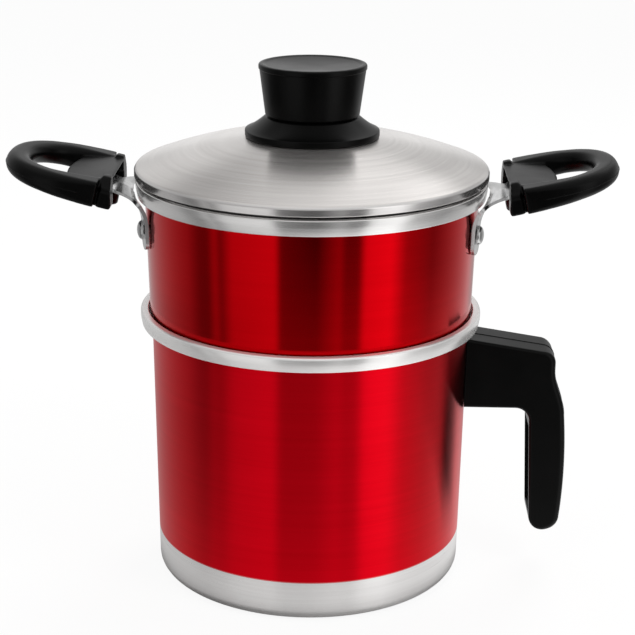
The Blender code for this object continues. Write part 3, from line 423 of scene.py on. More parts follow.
# Basket
basket = {"bottom": 120.6, "top": 184.9, "foot": 73.2, "flare": 1.6, "wall": 1.4, "footEdge": 0.9,
          "lip": 8.0, "lipWall": 1.5, "lipEdge": 0.4, "lipCorner": 0.8, "band": 177.9, "rim": 78.8,
          "rimEdge": 0.55, "rollHeight": 4.2, "roll": 9.0, "tuck": 0.7, "bore": 75.8, "boreEdge": 0.7,
          "boreCorner": 1.0}


def basketWall(z):
    return basket["foot"] + basket["flare"] * (z - basket["bottom"]) / (basket["band"] - basket["bottom"])


innerFoot = basket["foot"] - basket["wall"]
innerTop = basketWall(basket["band"]) - basket["wall"]
basketProfile = [(innerFoot - basket["lip"], basket["bottom"], basket["lipEdge"]),
                 (innerFoot - basket["lip"], basket["bottom"] + basket["lipWall"], basket["lipEdge"]),
                 (innerFoot, basket["bottom"] + basket["lipWall"], basket["lipCorner"]),
                 (innerTop, basket["band"], basket["boreCorner"]),
                 (basket["bore"], basket["band"] + basket["bore"] - innerTop, basket["boreCorner"]),
                 *upsetRim(basket, basketWall(basket["band"])),
                 (basket["foot"], basket["bottom"], basket["footEdge"])]
basketMesh = turned("basketShell", basketProfile, True, shellSteps, basketRed, rimBare, insideBare,
                    (basket["bottom"], basket["band"]))
finished("basketShell", basketMesh, "basket", ["basket_shell"])

# Lid
lid = {"rim": 79.3, "rimLow": 186.5, "rimHigh": 189.6, "rimEdge": 1.6, "seat": 185.2, "seatEdge": 75.2,
       "spigot": 72.8, "spigotLow": 180.3, "spigotWall": 1.2, "spigotEdge": 0.35, "wall": 1.3,
       "domeFoot": 77.3, "domeEnd": 75.8, "footZ": 191.1, "rise": 14.6, "hole": 2.5, "shoulder": 190.4,
       "shoulderOut": 78.4, "shoulderHigh": 190.75, "shoulderEdge": 1.2, "flattest": 0.05}
domeCurve = (lid["domeFoot"] ** 2 + lid["rise"] ** 2) / (2 * lid["rise"])
domeTop = lid["footZ"] + lid["rise"]


def domeHeight(radius):
    return domeTop - domeCurve + math.sqrt(domeCurve ** 2 - radius ** 2)


lidProfile = [(r, domeHeight(r), 0) for r in spaced(lid["hole"], lid["domeEnd"], 24)]
lidProfile += [(lid["shoulderOut"], lid["shoulderHigh"], lid["shoulderEdge"]),
               (lid["rim"], lid["rimHigh"], lid["rimEdge"]), (lid["rim"], lid["rimLow"], 0.3),
               (lid["seatEdge"], lid["rimLow"], 0.2), (lid["seatEdge"], lid["seat"], 0.2),
               (lid["spigot"], lid["seat"], 0.2), (lid["spigot"], lid["spigotLow"], lid["spigotEdge"]),
               (lid["spigot"] - lid["spigotWall"], lid["spigotLow"], lid["spigotEdge"]),
               (lid["spigot"] - lid["spigotWall"], lid["seat"] + lid["wall"], 0.3),
               (lid["domeFoot"] - lid["wall"], lid["seat"] + lid["wall"], 0.8)]
lidProfile += [(r, domeHeight(r) - lid["wall"], 0)
               for r in spaced(lid["domeFoot"] - lid["wall"], lid["hole"], 20)]
lidMesh = turned("lidShell", lidProfile, True, shellSteps, domeBare, edgeBare, insideBare,
                 (lid["shoulder"], beyond), flattest=lid["flattest"])
finished("lidShell", lidMesh, "lid", ["lid_shell"])

# Lid's knob: a flared base and a drum with a bead round its top
knob = {"flange": 30.0, "edge": 2.8, "baseHeight": 8.8, "neck": 21.0, "flare": 1.3, "grip": 23.1,
        "gripFoot": 20.9, "footEdge": 1.2, "gripTop": 24.0, "dish": 1.2, "dishDepth": 0.15, "dishEdge": 3.3,
        "beadHeight": 2.4, "bead": 0.4, "insert": 4.5, "insertLength": 12.6, "gap": 0.3, "padInner": 8,
        "padOuter": 19.4, "padHeight": 0.26, "screwSeat": 202.68}
knobSteps = 128
knobSeat = domeHeight(knob["flange"]) + knob["gap"]
knobWaist = knobSeat + knob["baseHeight"]
knobFoot = knobWaist + knob["gap"]
knobTop = knobFoot + knob["grip"]
flangeTop = knobSeat + knob["edge"]
padTop = knobWaist + knob["padHeight"]
knobBaseProfile = [(lid["hole"], knobWaist, 0), (knob["padInner"], knobWaist, 0),
                   (knob["padInner"], padTop, 0), (knob["padOuter"], padTop, 0),
                   (knob["padOuter"], knobWaist, 0)]
for t in (0.0, 0.06, 0.12, 0.2, 0.3, 0.4, 0.5, 0.6, 0.7, 0.8, 0.9):
    knobBaseProfile.append((knob["neck"] + (knob["flange"] - knob["neck"]) * t,
                            flangeTop + (knobWaist - flangeTop) * (1 - t) ** knob["flare"], 0))
knobBaseProfile += [(knob["flange"], flangeTop, 0.35), (knob["flange"], knobSeat, 0.5)]
knobBaseProfile += [(r, domeHeight(r) + knob["gap"], 0) for r in (26, 20, 14, 8, lid["hole"])]
knobBaseMesh = turned("knobBase", knobBaseProfile, True, knobSteps, blackBakelite)
finished("knobBase", knobBaseMesh, "lid", ["knob_base"])
beadLow = knobTop - knob["beadHeight"]
insertTop = knobFoot + knob["insertLength"]
gripProfile = [(r, knobTop - knob["dish"] * (1 - (r / knob["gripTop"]) ** 2) - knob["dishDepth"], 0)
               for r in (0, 4, 8, 12, 16)]
gripProfile += [(knob["gripTop"] - knob["dishEdge"], knobTop - 0.45, 0.8),
                (knob["gripTop"] - 1.7, knobTop, 0.5), (knob["gripTop"], knobTop - 0.1, 1.1),
                (knob["gripTop"], beadLow + 0.2, 0.5),
                (knob["gripTop"] - knob["bead"], beadLow - 0.1, 0.25),
                (knob["gripFoot"], knobFoot, knob["footEdge"]), (knob["insert"], knobFoot, 0),
                (knob["insert"], insertTop, 0), (0, insertTop, 0)]
gripMesh = turned("knobGrip", gripProfile, False, knobSteps, blackBakelite, bends=6)
finished("knobGrip", gripMesh, "lid", ["knob_grip"])
print("turned shells made")


# Helpers for the shapes that aren't turned
def arc(x, y, radius, start, end, steps):
    turns = [math.radians(degrees) for degrees in spaced(start, end, steps)]
    return [(x + radius * math.cos(turn), y + radius * math.sin(turn)) for turn in turns]


def prism(name, outline, low, high):
    shape = bmesh.new()
    base = shape.faces.new([shape.verts.new((x, y, low)) for x, y in outline])
    raised = bmesh.ops.extrude_face_region(shape, geom=[base])["geom"]
    raisedVerts = [v for v in raised if isinstance(v, bmesh.types.BMVert)]
    bmesh.ops.translate(shape, vec=(0, 0, high - low), verts=raisedVerts)
    return outwardMesh(name, shape)


def toMesh(name, shape):
    mesh = bpy.data.meshes.new(name)
    shape.to_mesh(mesh)
    shape.free()
    return mesh


def outwardMesh(name, shape):
    bmesh.ops.recalc_face_normals(shape, faces=shape.faces)
    return toMesh(name, shape)


def facingOut(mesh):
    shape = bmesh.new()
    shape.from_mesh(mesh)
    return outwardMesh(mesh.name, shape)


def block(name, low, high):
    shape = bmesh.new()
    bmesh.ops.create_cube(shape, size=1)
    for vert in shape.verts:
        vert.co = Vector([(a + b) / 2 + (b - a) * c for a, b, c in zip(low, high, vert.co)])
    return toMesh(name, shape)


def rod(name, radius, low, high, x=0.0):
    return prism(name, arc(x, 0, radius, 0, 360, 32)[:-1], low, high)


def shown(mesh):  # in the scene, so that modifiers can work on it
    return linked(mesh.name, mesh)


def rounded(mesh, width, steps):
    live = shown(mesh)
    bevel = live.modifiers.new("edges", 'BEVEL')
    bevel.width, bevel.segments = width, steps
    bevel.limit_method, bevel.angle_limit = 'ANGLE', math.radians(40)
    return plainMesh(live)


def ringed(name, rings):  # a skin over rows of points, with its two ends filled
    shape = bmesh.new()
    rows = [[shape.verts.new(point) for point in ring] for ring in rings]
    for near, far in zip(rows, rows[1:]):
        for i, vert in enumerate(near):
            shape.faces.new((near[i - 1], vert, far[i], far[i - 1]))
    shape.faces.new(rows[0])
    shape.faces.new(rows[-1])
    return outwardMesh(name, shape)


def softPrism(name, outline, half, radii, steps):  # edges rounded by a radius of their own at each point
    ways = []
    for i, spot in enumerate(outline):
        ahead = Vector(outline[(i + 1) % len(outline)])
        runs = [Vector(spot) - Vector(outline[i - 1]), ahead - Vector(spot)]
        before, after = (Vector((run.y, -run.x)).normalized() for run in runs)
        middle = (before + after).normalized()
        ways.append(middle / middle.dot(before))
    turns = spaced(0, math.pi / 2, steps)
    levels = [(-1, turn) for turn in turns[::-1]] + [(1, turn) for turn in turns]
    rings = []
    for sign, turn in levels:
        inward, height = 1 - math.cos(turn), 1 - math.sin(turn)
        rings.append([(x - way.x * radius * inward, y - way.y * radius * inward,
                       sign * (half - radius * height))
                      for (x, y), way, radius in zip(outline, ways, radii)])
    return ringed(name, rings)


def cut(mesh, *tools, how='DIFFERENCE'):
    for tool in tools:
        live, cutter = shown(mesh), shown(tool)
        change = live.modifiers.new("cut", 'BOOLEAN')
        change.operation, change.object, change.solver = how, cutter, 'EXACT'
        mesh = plainMesh(live)
        bpy.data.objects.remove(cutter)
    return mesh


def moved(mesh, matrix):
    mesh.transform(matrix)
    return mesh


def together(name, meshes):
    shape = bmesh.new()
    for mesh in meshes:
        shape.from_mesh(mesh)
    return toMesh(name, shape)


def shaded(mesh, sharpest=30):
    mesh.shade_smooth()
    mesh.set_sharp_from_angle(angle=math.radians(sharpest))
    live = shown(mesh)
    weighted = live.modifiers.new("flat faces stay flat", 'WEIGHTED_NORMAL')
    weighted.keep_sharp = True
    return plainMesh(live)


def smoothRow(rows, count):  # points on a smooth curve through the rows
    made = []
    for i in range(len(rows) - 1):
        before, here = Vector(rows[max(i - 1, 0)]), Vector(rows[i])
        ahead, after = Vector(rows[i + 1]), Vector(rows[min(i + 2, len(rows) - 1)])
        for step in range(count):
            t = step / count
            bend = (2 * before - 5 * here + 4 * ahead - after) * t * t
            sweep = (3 * here - before - 3 * ahead + after) * t ** 3
            made.append(0.5 * (2 * here + (ahead - before) * t + bend + sweep))
    return made + [Vector(rows[-1])]


# Side handle of the pot: block, neck and hanging grip with a hollow inner face
side = {"width": 24.0, "edge": 1.4, "backEdge": 3.0, "top": 113.0, "height": 32.9, "slope": 8.7, "root": 4.5,
        "neckReach": 40.5, "neckHeight": 0.55, "gripReach": 46.9, "fingerGap": 29.4, "lean": 2.0, "bow": 7.0,
        "bowCentre": 0.52, "backLow": 0.12, "backHigh": 0.94, "grip": 61.2, "fillet": 6.5, "corner": 6.0,
        "hollowDepth": 2.6, "hollowLow": 9, "hollowHigh": 4, "cheek": 2.3, "seamHeight": 0.22,
        "seamWidth": 0.9, "seamless": ((0, -5), (44, -5), (44, 12), (33, 22), (33, 67.2), (-6, 67.2)),
        "tipLevel": 0.11, "wallGap": 0.3, "pocket": (68, 77.3), "pocketHalf": 7.3, "pocketRise": 11.8,
        "lugEnd": 96.9, "lugHalf": 5.8, "lugRise": 1.2, "screw": 88.54, "screwSeat": 83.0, "bore": 2.3,
        "boreTop": 106.3, "sink": 3.9}
sideBottom = side["top"] - side["height"]
gripBottom = sideBottom - side["grip"]
sideWall = potWall(sideBottom + side["height"] / 2)
neckX = sideWall + side["neckReach"]
fingerX = sideWall + side["fingerGap"]
slope = math.radians(side["slope"])


def sideOutline(grow=0.0):
    cornerX = neckX - side["corner"]
    rootX = sideWall - side["root"]

    def back(level):
        bow = side["gripReach"] - side["bow"] * (level - side["bowCentre"]) ** 2
        return sideWall + bow + grow, gripBottom + side["grip"] * level

    footX = fingerX + side["lean"]
    tip = (back(side["tipLevel"])[0] - footX) / 2
    outline = [(rootX, sideBottom)]
    outline += arc(fingerX - side["fillet"], sideBottom - side["fillet"], side["fillet"], 90, 0, 10)
    outline += arc(footX + tip, gripBottom + tip, tip, 180, 360, 24)
    outline += [back(level) for level in spaced(side["backLow"], side["backHigh"], 16)[1:]]
    startX, startZ = outline[-1]
    endZ = sideBottom + side["neckHeight"] * side["height"]
    for t in spaced(0, 1, 16)[1:]:
        outline.append((startX + (neckX + grow - startX) * t * t * (3 - 2 * t), startZ + (endZ - startZ) * t))
    cornerZ = side["top"] - (cornerX - sideWall) * math.tan(slope) - side["corner"] / math.cos(slope)
    outline += arc(cornerX, cornerZ, side["corner"] + grow, 0, 90 - side["slope"], 12)
    outline.append((rootX, side["top"] - (rootX - sideWall) * math.tan(slope) + grow))
    return outline


def sideRounding(x):
    share = min(1.0, max(0.0, (x - neckX + side["corner"]) / side["corner"]))
    return side["edge"] + (side["backEdge"] - side["edge"]) * share


def sideSeam():  # the mould's line over the top and down the back, not on the fingers' side
    half = side["seamWidth"] / 2
    seam = prism("sideSeam", sideOutline(side["seamHeight"]), -half, half)
    inside = [(sideWall + x, gripBottom + z) for x, z in side["seamless"]]
    return cut(seam, prism("seamEnd", inside, -5, 5))


def gripHollow():
    half = side["width"] / 2 - side["cheek"]
    innerX, top = fingerX + side["hollowDepth"], sideBottom - side["fillet"]
    outline = [(fingerX - 4, top - 1), (innerX, top - side["hollowHigh"]),
               (innerX + side["lean"], gripBottom + side["hollowLow"]), (fingerX - 4, gripBottom + 6)]
    return rounded(prism("gripHollow", outline, -half, half), 1.0, 3)


def wallCutter():
    low, high = sideBottom - 8, side["top"] + 8
    shape = bmesh.new()
    bmesh.ops.create_cone(shape, cap_ends=True, segments=shellSteps, radius1=potWall(low) + side["wallGap"],
                          radius2=potWall(high) + side["wallGap"], depth=high - low,
                          matrix=Matrix.Translation((0, 0, (low + high) / 2)))
    return toMesh("wallCutter", shape)


def sideHandle():
    upright = Matrix.Rotation(math.radians(90), 4, 'X')
    outline = sideOutline()
    handle = softPrism("sideHandle", outline, side["width"] / 2, [sideRounding(x) for x, _ in outline], 6)
    handle = moved(cut(handle, sideSeam(), how='UNION'), upright)
    middle = sideBottom + side["height"] / 2
    start, end = side["pocket"]
    pocket = block("pocket", (start, -side["pocketHalf"], middle - side["pocketRise"]),
                   (end, side["pocketHalf"], middle + side["pocketRise"]))
    lugSlot = block("lugSlot", (sideWall, -side["lugHalf"], middle - side["lugRise"]),
                    (side["lugEnd"], side["lugHalf"], middle + side["lugRise"]))
    bore = rod("screwBore", side["bore"], sideBottom, side["boreTop"], side["screw"])
    sink = rod("screwSink", side["sink"], sideBottom - 3, side["screwSeat"] + 0.3, side["screw"])
    return shaded(cut(handle, moved(gripHollow(), upright), wallCutter(), pocket, lugSlot, bore, sink))


finished("sideHandle", sideHandle(), "pot", ["pot_handle"], blackBakelite)
print("side handle made")

# Loop handles of the basket, in their own frame: X out along the loop, Z up through it
loop = {"out": 86.0, "up": 180.8, "tilt": 13.5, "length": 51.65, "width": 66.0, "bar": 11.2, "thick": 11.5,
        "tipThick": 8.8, "edge": 4.2, "roundness": 2.3, "armStart": 7.3, "armLength": 12.5, "pinch": 1.0,
        "groove": 0.7, "blockInner": 18.5, "blockOuter": 28.3, "blockTopOuter": 23.6, "blockLow": -6.2,
        "blockHigh": 7.4, "blockEdge": 1.0, "coreOuter": 27.6, "coreHalf": 1.5, "seam": 1.6, "seamHalf": 0.15,
        "webTop": 7.0, "webThick": 5.5, "webRoot": 0.6, "webLength": 23.3, "webBulge": 4.8, "webReach": 0.7,
        "boss": 7.5, "bossDepth": 10.0, "bossLength": 13.0, "bossTop": 1.4, "screw": 7.0, "screwSeat": -7.0,
        "bore": 2.3, "sink": 3.8, "sheet": -0.4, "sheetHalf": 13.0, "sheetEnd": 14.3, "end": 1.0,
        "recess": 4.4, "recessHalf": 17.5, "bead": 0.24, "beadLevel": -0.4, "voxel": 0.42}
loopPlace = (Matrix.Translation((loop["out"], 0, loop["up"]))
             @ Matrix.Rotation(-math.radians(loop["tilt"]), 4, 'Y'))


def loopArch(inset, count):
    middle = loop["armStart"] + loop["armLength"]
    length, half = loop["length"] - middle - inset, loop["width"] / 2 - inset
    arm = [(middle - loop["armLength"] * t, half - loop["pinch"] * t * t) for t in (1, 0.8, 0.6, 0.4, 0.2)]
    points = [(u, -v) for u, v in arm]
    for turn in spaced(-math.pi / 2, math.pi / 2, count):
        along = abs(math.cos(turn)) ** (2 / loop["roundness"])
        across = math.copysign(abs(math.sin(turn)) ** (2 / loop["roundness"]), math.sin(turn))
        points.append((middle + length * along, half * across))
    return points + arm[::-1]


def barSection(halfWidth, halfHeight, bend):
    points = []
    for corner, (sideX, sideY) in enumerate(((1, 1), (-1, 1), (-1, -1), (1, -1))):
        start = 90 * corner
        points += arc(sideX * (halfWidth - bend), sideY * (halfHeight - bend), bend, start, start + 90, 6)
    return points


def loopBar():
    rings = []
    for (uOut, vOut), (uIn, vIn) in zip(loopArch(0, 64), loopArch(loop["bar"], 64)):
        outer, inner = Vector((uOut, vOut, 0)), Vector((uIn, vIn, 0))
        middle, across = (outer + inner) / 2, (outer - inner) / 2
        share = (uOut - loop["armStart"]) / (loop["length"] - loop["armStart"])
        height = loop["thick"] + (loop["tipThick"] - loop["thick"]) * share
        bend = min(loop["edge"] * min(1.0, 0.35 + 1.1 * share), across.length - 0.1, height / 2 - 0.1)
        section = barSection(across.length, height / 2, bend)
        across.normalize()
        rings.append([middle + across * x + Vector((0, 0, y)) for x, y in section])
    return ringed("loopBar", rings)


def loopSeam():  # the mould's line along the outer side
    rings = []
    section = arc(0, 0, loop["bead"], 0, 360, 6)[:-1]
    path = [Vector((u, v, loop["beadLevel"])) for u, v in loopArch(0.05, 64)][3:-3]
    for i, point in enumerate(path):
        along = (path[min(i + 1, len(path) - 1)] - path[max(i - 1, 0)]).normalized()
        out = Vector((along.y, -along.x, 0))
        rings.append([point + out * x + Vector((0, 0, z)) for x, z in section])
    return ringed("loopSeam", rings)


def loopWeb():
    half = loop["width"] / 2 - loop["webReach"] * loop["bar"]
    inner = loop["webRoot"] - loop["webTop"] * math.sin(math.radians(loop["tilt"]))
    before, after = loop["armStart"] - loop["groove"], loop["armStart"] + loop["groove"]
    outline = [(inner, -loop["blockTopOuter"]), (before, -loop["blockTopOuter"]), (after, -half)]
    outline += [(loop["webLength"] - loop["webBulge"] * t * t, half * t) for t in spaced(-1, 1, 24)]
    outline += [(after, half), (before, loop["blockTopOuter"]), (inner, loop["blockTopOuter"])]
    web = rounded(prism("loopWeb", outline, loop["webTop"] - loop["webThick"], loop["webTop"]), 0.7, 3)
    return moved(web, Matrix.Rotation(math.radians(loop["tilt"]), 4, 'Y'))


def endBlock(sign):  # two stacked blocks with a seam between them, round a core
    end = loop["armStart"] - loop["groove"]
    low, high = sorted((sign * loop["blockInner"], sign * loop["blockOuter"]))
    seamLow, seamHigh = loop["seam"] - loop["seamHalf"], loop["seam"] + loop["seamHalf"]
    parts = []
    for bottom, top in ((loop["blockLow"], seamLow), (seamHigh, loop["blockHigh"])):
        part = block("endBlock", (0, low, bottom), (end, high, top))
        for vert in part.vertices:
            if vert.co.z > loop["blockHigh"] - 0.1 and abs(vert.co.y) > loop["blockTopOuter"]:
                vert.co.y = sign * loop["blockTopOuter"]
        parts.append(rounded(part, loop["blockEdge"], 4))
    low, high = sorted((sign * loop["blockInner"], sign * loop["coreOuter"]))
    parts.append(block("core", (loop["blockEdge"], low, loop["seam"] - loop["coreHalf"]),
                       (end - loop["blockEdge"], high, loop["seam"] + loop["coreHalf"])))
    return parts


def oneBody(mesh, rounds):  # voxels that join overlapping bodies, smoothed
    live = shown(mesh)
    remesh = live.modifiers.new("one body", 'REMESH')
    remesh.mode, remesh.voxel_size, remesh.adaptivity = 'VOXEL', loop["voxel"], 0.0
    if rounds:
        soften = live.modifiers.new("soft joins", 'SMOOTH')
        soften.factor, soften.iterations = 0.5, rounds
    return plainMesh(live)


def screwBoss():
    end = loop["screw"] + loop["bossLength"]
    outline = arc(loop["screw"], 0, loop["boss"], 90, 270, 24) + [(end, -loop["boss"]), (end, loop["boss"])]
    return rounded(prism("loopBoss", outline, -loop["bossDepth"], loop["bossTop"]), 0.6, 3)


def loopHandle():
    parts = [loopBar(), loopWeb(), screwBoss(), *endBlock(-1), *endBlock(1)]
    handle = oneBody(together("loopHandle", parts), 0)
    end = loop["out"] + loop["end"]
    upright = moved(block("uprightEnd", (end - 9, -40, 150), (end, 40, 210)), loopPlace.inverted())
    recess = block("endRecess", (-9, -loop["recessHalf"], 1.0), (loop["recess"], loop["recessHalf"], 5.4))
    handle = oneBody(cut(handle, recess, upright), 5)
    slot = block("sheetSlot", (-9, -loop["sheetHalf"], loop["sheet"] - 1.3),
                 (loop["sheetEnd"], loop["sheetHalf"], loop["sheet"] + 1.6))
    bore = rod("bore", loop["bore"], -loop["bossDepth"], 2.9, loop["screw"])
    sink = rod("sink", loop["sink"], -loop["bossDepth"] - 3, loop["screwSeat"], loop["screw"])
    handle = cut(handle, slot, bore, sink)
    handle.shade_smooth()
    handle.set_sharp_from_angle(angle=math.radians(50))
    seam = loopSeam()
    seam.shade_smooth()
    return moved(together("loopHandle", [handle, seam]), loopPlace)


flanks = {"right": Matrix.Identity(4), "left": Matrix.Rotation(math.pi, 4, 'Z')}


def onBothFlanks(name, mesh, replaced, finish):
    for flank, place in flanks.items():
        finished(flank + name, moved(mesh.copy(), place), "basket", [f"{flank}_{replaced}"], finish)


onBothFlanks("LoopHandle", loopHandle(), "loop_handle", blackBakelite)
print("loop handles made")

# Sheet brackets: two legs up the basket's wall that turn out round the rim into one plate
strap = {"thick": 1.7, "half": 5.6, "angle": 15.2, "endBend": 4.6, "gap": 0.3, "across": 8, "overWeb": 4,
         "steps": 5, "edge": 0.35, "crease": 12}
strapLeg = {"onWall": (155.5, 160.0, 164.4, 168.0), "overRim": ((76.25, 171.2), (77.5, 174.3), (79.4, 177.0))}
# Points from the rim to the plate, and rows across the plate in the loop's frame, from its edge to its middle
strapTurn = {"outer": ((77.6, -23.2, 178.2), (81.8, -17.4, 178.9)),
             "inner": ((79.3, -12.4, 179.6), (82.4, -8.2, 180.9)),
             "centre": ((80.4, 0, 179.6), (83.0, 0, 180.9))}
strapPlate = {"outer": ((0.6, 12.2, -1.1), (5.0, 11.8, -0.3), (13.8, 11.8, 0)),
              "inner": ((0.4, 4.6, 0.7), (5.0, 5.0, 0.3), (13.8, 6.0, 0)),
              "centre": ((0.3, 0, 0.7), (5.0, 0, 0.3), (13.8, 0, 0))}


def strapLines():
    turn = -math.radians(strap["angle"])
    radial = Vector((math.cos(turn), math.sin(turn), 0))
    tangent = Vector((-math.sin(turn), math.cos(turn), 0))
    lift = strap["gap"] + strap["thick"] / 2
    leg = [(basketWall(z) + lift, z) for z in strapLeg["onWall"]] + list(strapLeg["overRim"])
    lines = []
    for edge, offset in (("outer", -strap["half"]), ("inner", strap["half"]), ("centre", 0)):
        rows = []
        if offset:  # the middle line has no leg
            rows = [radial * r + tangent * offset + Vector((0, 0, z)) for r, z in leg]
        rows += [Vector(point) for point in strapTurn[edge]]
        rows += [loopPlace @ Vector((u, -v, loop["sheet"] + w)) for u, v, w in strapPlate[edge]]
        lines.append(smoothRow(rows, strap["steps"]))
    return lines


def strapSheet():  # rows of points from the leg's rounded end up to the plate, half the bracket wide
    outerLine, innerLine, centreLine = strapLines()
    first = (len(strapLeg["onWall"]) + len(strapLeg["overRim"])) * strap["steps"]
    points, faces, rows = [], [], []
    for i, (a, b) in enumerate(zip(outerLine, innerLine)):
        rise = a.z - outerLine[0].z
        narrow = 1.0
        if rise < strap["endBend"]:  # the leg's lower end is rounded
            inset = strap["endBend"] - math.sqrt(strap["endBend"] ** 2 - (strap["endBend"] - rise) ** 2)
            narrow = 1 - inset / strap["half"]
        middle = (a + b) / 2
        row = [middle + (a - middle) * narrow * share for share in spaced(1, -1, strap["across"])]
        if i >= first:
            c = centreLine[i - first]
            row += [b + (c - b) * k / strap["overWeb"] for k in range(1, strap["overWeb"] + 1)]
        rows.append([len(points) + k for k in range(len(row))])
        points += row
    for near, far in zip(rows, rows[1:]):
        for k in range(min(len(near), len(far)) - 1):
            faces.append((near[k], near[k + 1], far[k + 1], far[k]))
    mesh = bpy.data.meshes.new("bracket")
    mesh.from_pydata(points, [], faces)
    return mesh


def bracket():
    live = shown(strapSheet())
    mirror = live.modifiers.new("other leg", 'MIRROR')
    mirror.use_axis = (False, True, False)
    mirror.merge_threshold = 0.01
    wall = live.modifiers.new("sheet", 'SOLIDIFY')
    wall.thickness, wall.offset, wall.use_even_offset = strap["thick"], 0, True
    soft = live.modifiers.new("edges", 'BEVEL')
    soft.width, soft.segments, soft.limit_method = strap["edge"], 2, 'ANGLE'
    soft.angle_limit = math.radians(50)
    hole = moved(rod("bracketHole", loop["bore"], -9, 9, loop["screw"]), loopPlace)
    return shaded(facingOut(cut(plainMesh(live), hole)), strap["crease"])


onBothFlanks("Bracket", bracket(), "bracket", bracketMetal)
print("brackets made")


# Fasteners: a template placed on points, each with its own turn
def placedTree():
    tree = bpy.data.node_groups.new("placed fasteners", 'GeometryNodeTree')
    graph, given = sockets(tree, [("Geometry", 'Geometry'), ("Fastener", 'Object'), ("Finish", 'Material')])
    shape = graph.add('GeometryNodeObjectInfo', {"transform_space": 'ORIGINAL'},
                      {"Object": given.out("Fastener"), "As Instance": True}, "Geometry")
    turn = graph.add('GeometryNodeInputNamedAttribute', {"data_type": 'FLOAT_VECTOR'}, {"Name": "turn"},
                     "Attribute")
    turn = graph.add('FunctionNodeEulerToRotation', inputs={0: turn})
    spread = graph.add('GeometryNodeInstanceOnPoints', inputs={"Points": given.out("Geometry"),
                                                               "Instance": shape, "Rotation": turn})
    spread = graph.painted(graph.realized(spread), given.out("Finish"))
    graph.add('NodeGroupOutput', inputs={"Geometry": spread})
    return tree


placedGroup = placedTree()


def placed(name, template, places):
    points = bpy.data.meshes.new(name)
    points.from_pydata([place.translation for place in places], [], [])
    turns = points.attributes.new("turn", 'FLOAT_VECTOR', 'POINT')
    for entry, place in zip(turns.data, places):
        entry.vector = place.to_euler()
    pattern = shown(template)
    made = plainMesh(withTree(name, points, placedGroup, {"Fastener": pattern, "Finish": boltSteel}))
    bpy.data.objects.remove(pattern)
    return made


rivet = {"shank": 2.0, "head": 4.4, "height": 2.3, "flange": 0.45, "edge": 0.1, "crown": 4.1, "tail": 3.4,
         "tailHeight": 1.2, "steps": 40, "out": 2.4, "level": 164.4, "grip": 4.1}
potRivet = {"out": 74.64, "levels": (89.55, 103.55), "grip": 4.35}


def rivetMesh(grip):  # a flat tail inside the wall, the shank and a domed head on a thin flange
    tailEnd = -grip - rivet["tailHeight"]
    profile = [(0, tailEnd, 0), (0.8 * rivet["tail"], tailEnd, 0.4), (rivet["tail"], -grip, rivet["edge"]),
               (rivet["shank"], -grip, 0), (rivet["shank"], 0, 0), (rivet["head"], 0, rivet["edge"]),
               (rivet["head"], rivet["flange"] - 0.1, rivet["edge"]),
               (rivet["head"] - 0.25, rivet["flange"], rivet["edge"])]
    for degrees in (12, 26, 40, 54, 66, 76):
        a = math.radians(degrees)
        profile.append((rivet["crown"] * math.cos(a),
                        rivet["flange"] + (rivet["height"] - rivet["flange"]) * math.sin(a), 0))
    profile.append((0, rivet["height"] - 0.1, 0))
    return turned("rivet", profile, False, rivet["steps"], boltSteel, bends=3)


screws = {"loop": {"shank": 2.0, "length": 9.5, "head": 3.5, "height": 2.4},
          "side": {"shank": 2.0, "length": 22.6, "head": 3.6, "height": 2.6},
          "knob": {"shank": 2.2, "length": 21.9, "head": 4.5, "height": 2.8}}


def screwMesh(shank, length, head, height):
    profile = [(0, length, 0), (0.7 * shank, length, 0), (shank, length - 0.5 * shank, 0)]
    pitch = 0.7
    z = length - 0.5 * shank - pitch
    while z > 0.3 * length:  # thread
        profile += [(shank, z + 0.45 * pitch, 0), (shank - 0.3, z + 0.1 * pitch, 0)]
        z -= pitch
    profile += [(shank, z, 0), (shank, 0, 0), (head, 0, 0.15), (head, -0.45 * height, 0.5),
                (0.72 * head, -height, 0.4), (0, -height, 0)]
    screw = turned("screw", profile, False, 32, boltSteel, bends=3)
    slot = block("screwSlot", (-head - 1, -0.13 * head, -height - 1), (head + 1, 0.13 * head, -0.55 * height))
    return shaded(cut(screw, slot))


def outwardAt(turn, out, z):
    return (Matrix.Rotation(turn, 4, 'Z') @ Matrix.Translation((out, 0, z))
            @ Matrix.Rotation(math.radians(90), 4, 'Y'))


def fastened(name, template, places, body, replaced):
    finished(name, placed(name, template, places), body, replaced)


legTurn = math.radians(strap["angle"])
rivetSeat = basketWall(rivet["level"]) + rivet["out"]
basketPlaces = [outwardAt(turn, rivetSeat, rivet["level"])
                for turn in (-legTurn, legTurn, math.pi - legTurn, math.pi + legTurn)]
fastened("basketRivets", rivetMesh(rivet["grip"]), basketPlaces, "basket",
         [f"{flank}_rivet_{end}" for flank in flanks for end in ("front", "rear")])
potPlaces = [outwardAt(0, potRivet["out"], z) for z in potRivet["levels"]]
fastened("potRivets", rivetMesh(potRivet["grip"]), potPlaces, "pot",
         ["pot_bracket_rivet_lower", "pot_bracket_rivet_upper"])
loopSeat = loopPlace @ Matrix.Translation((loop["screw"], 0, loop["screwSeat"] - 0.3))
fastened("loopScrews", screwMesh(**screws["loop"]), [place @ loopSeat for place in flanks.values()],
         "basket", [f"{flank}_handle_screw" for flank in flanks])
sideSeat = Matrix.Translation((side["screw"], 0, side["screwSeat"]))
fastened("sideScrew", screwMesh(**screws["side"]), [sideSeat], "pot", ["pot_handle_screw"])
screwSeat = Matrix.Translation((0, 0, knob["screwSeat"]))
fastened("knobScrew", screwMesh(**screws["knob"]), [screwSeat], "lid", ["knob_screw"])
print("fasteners made")

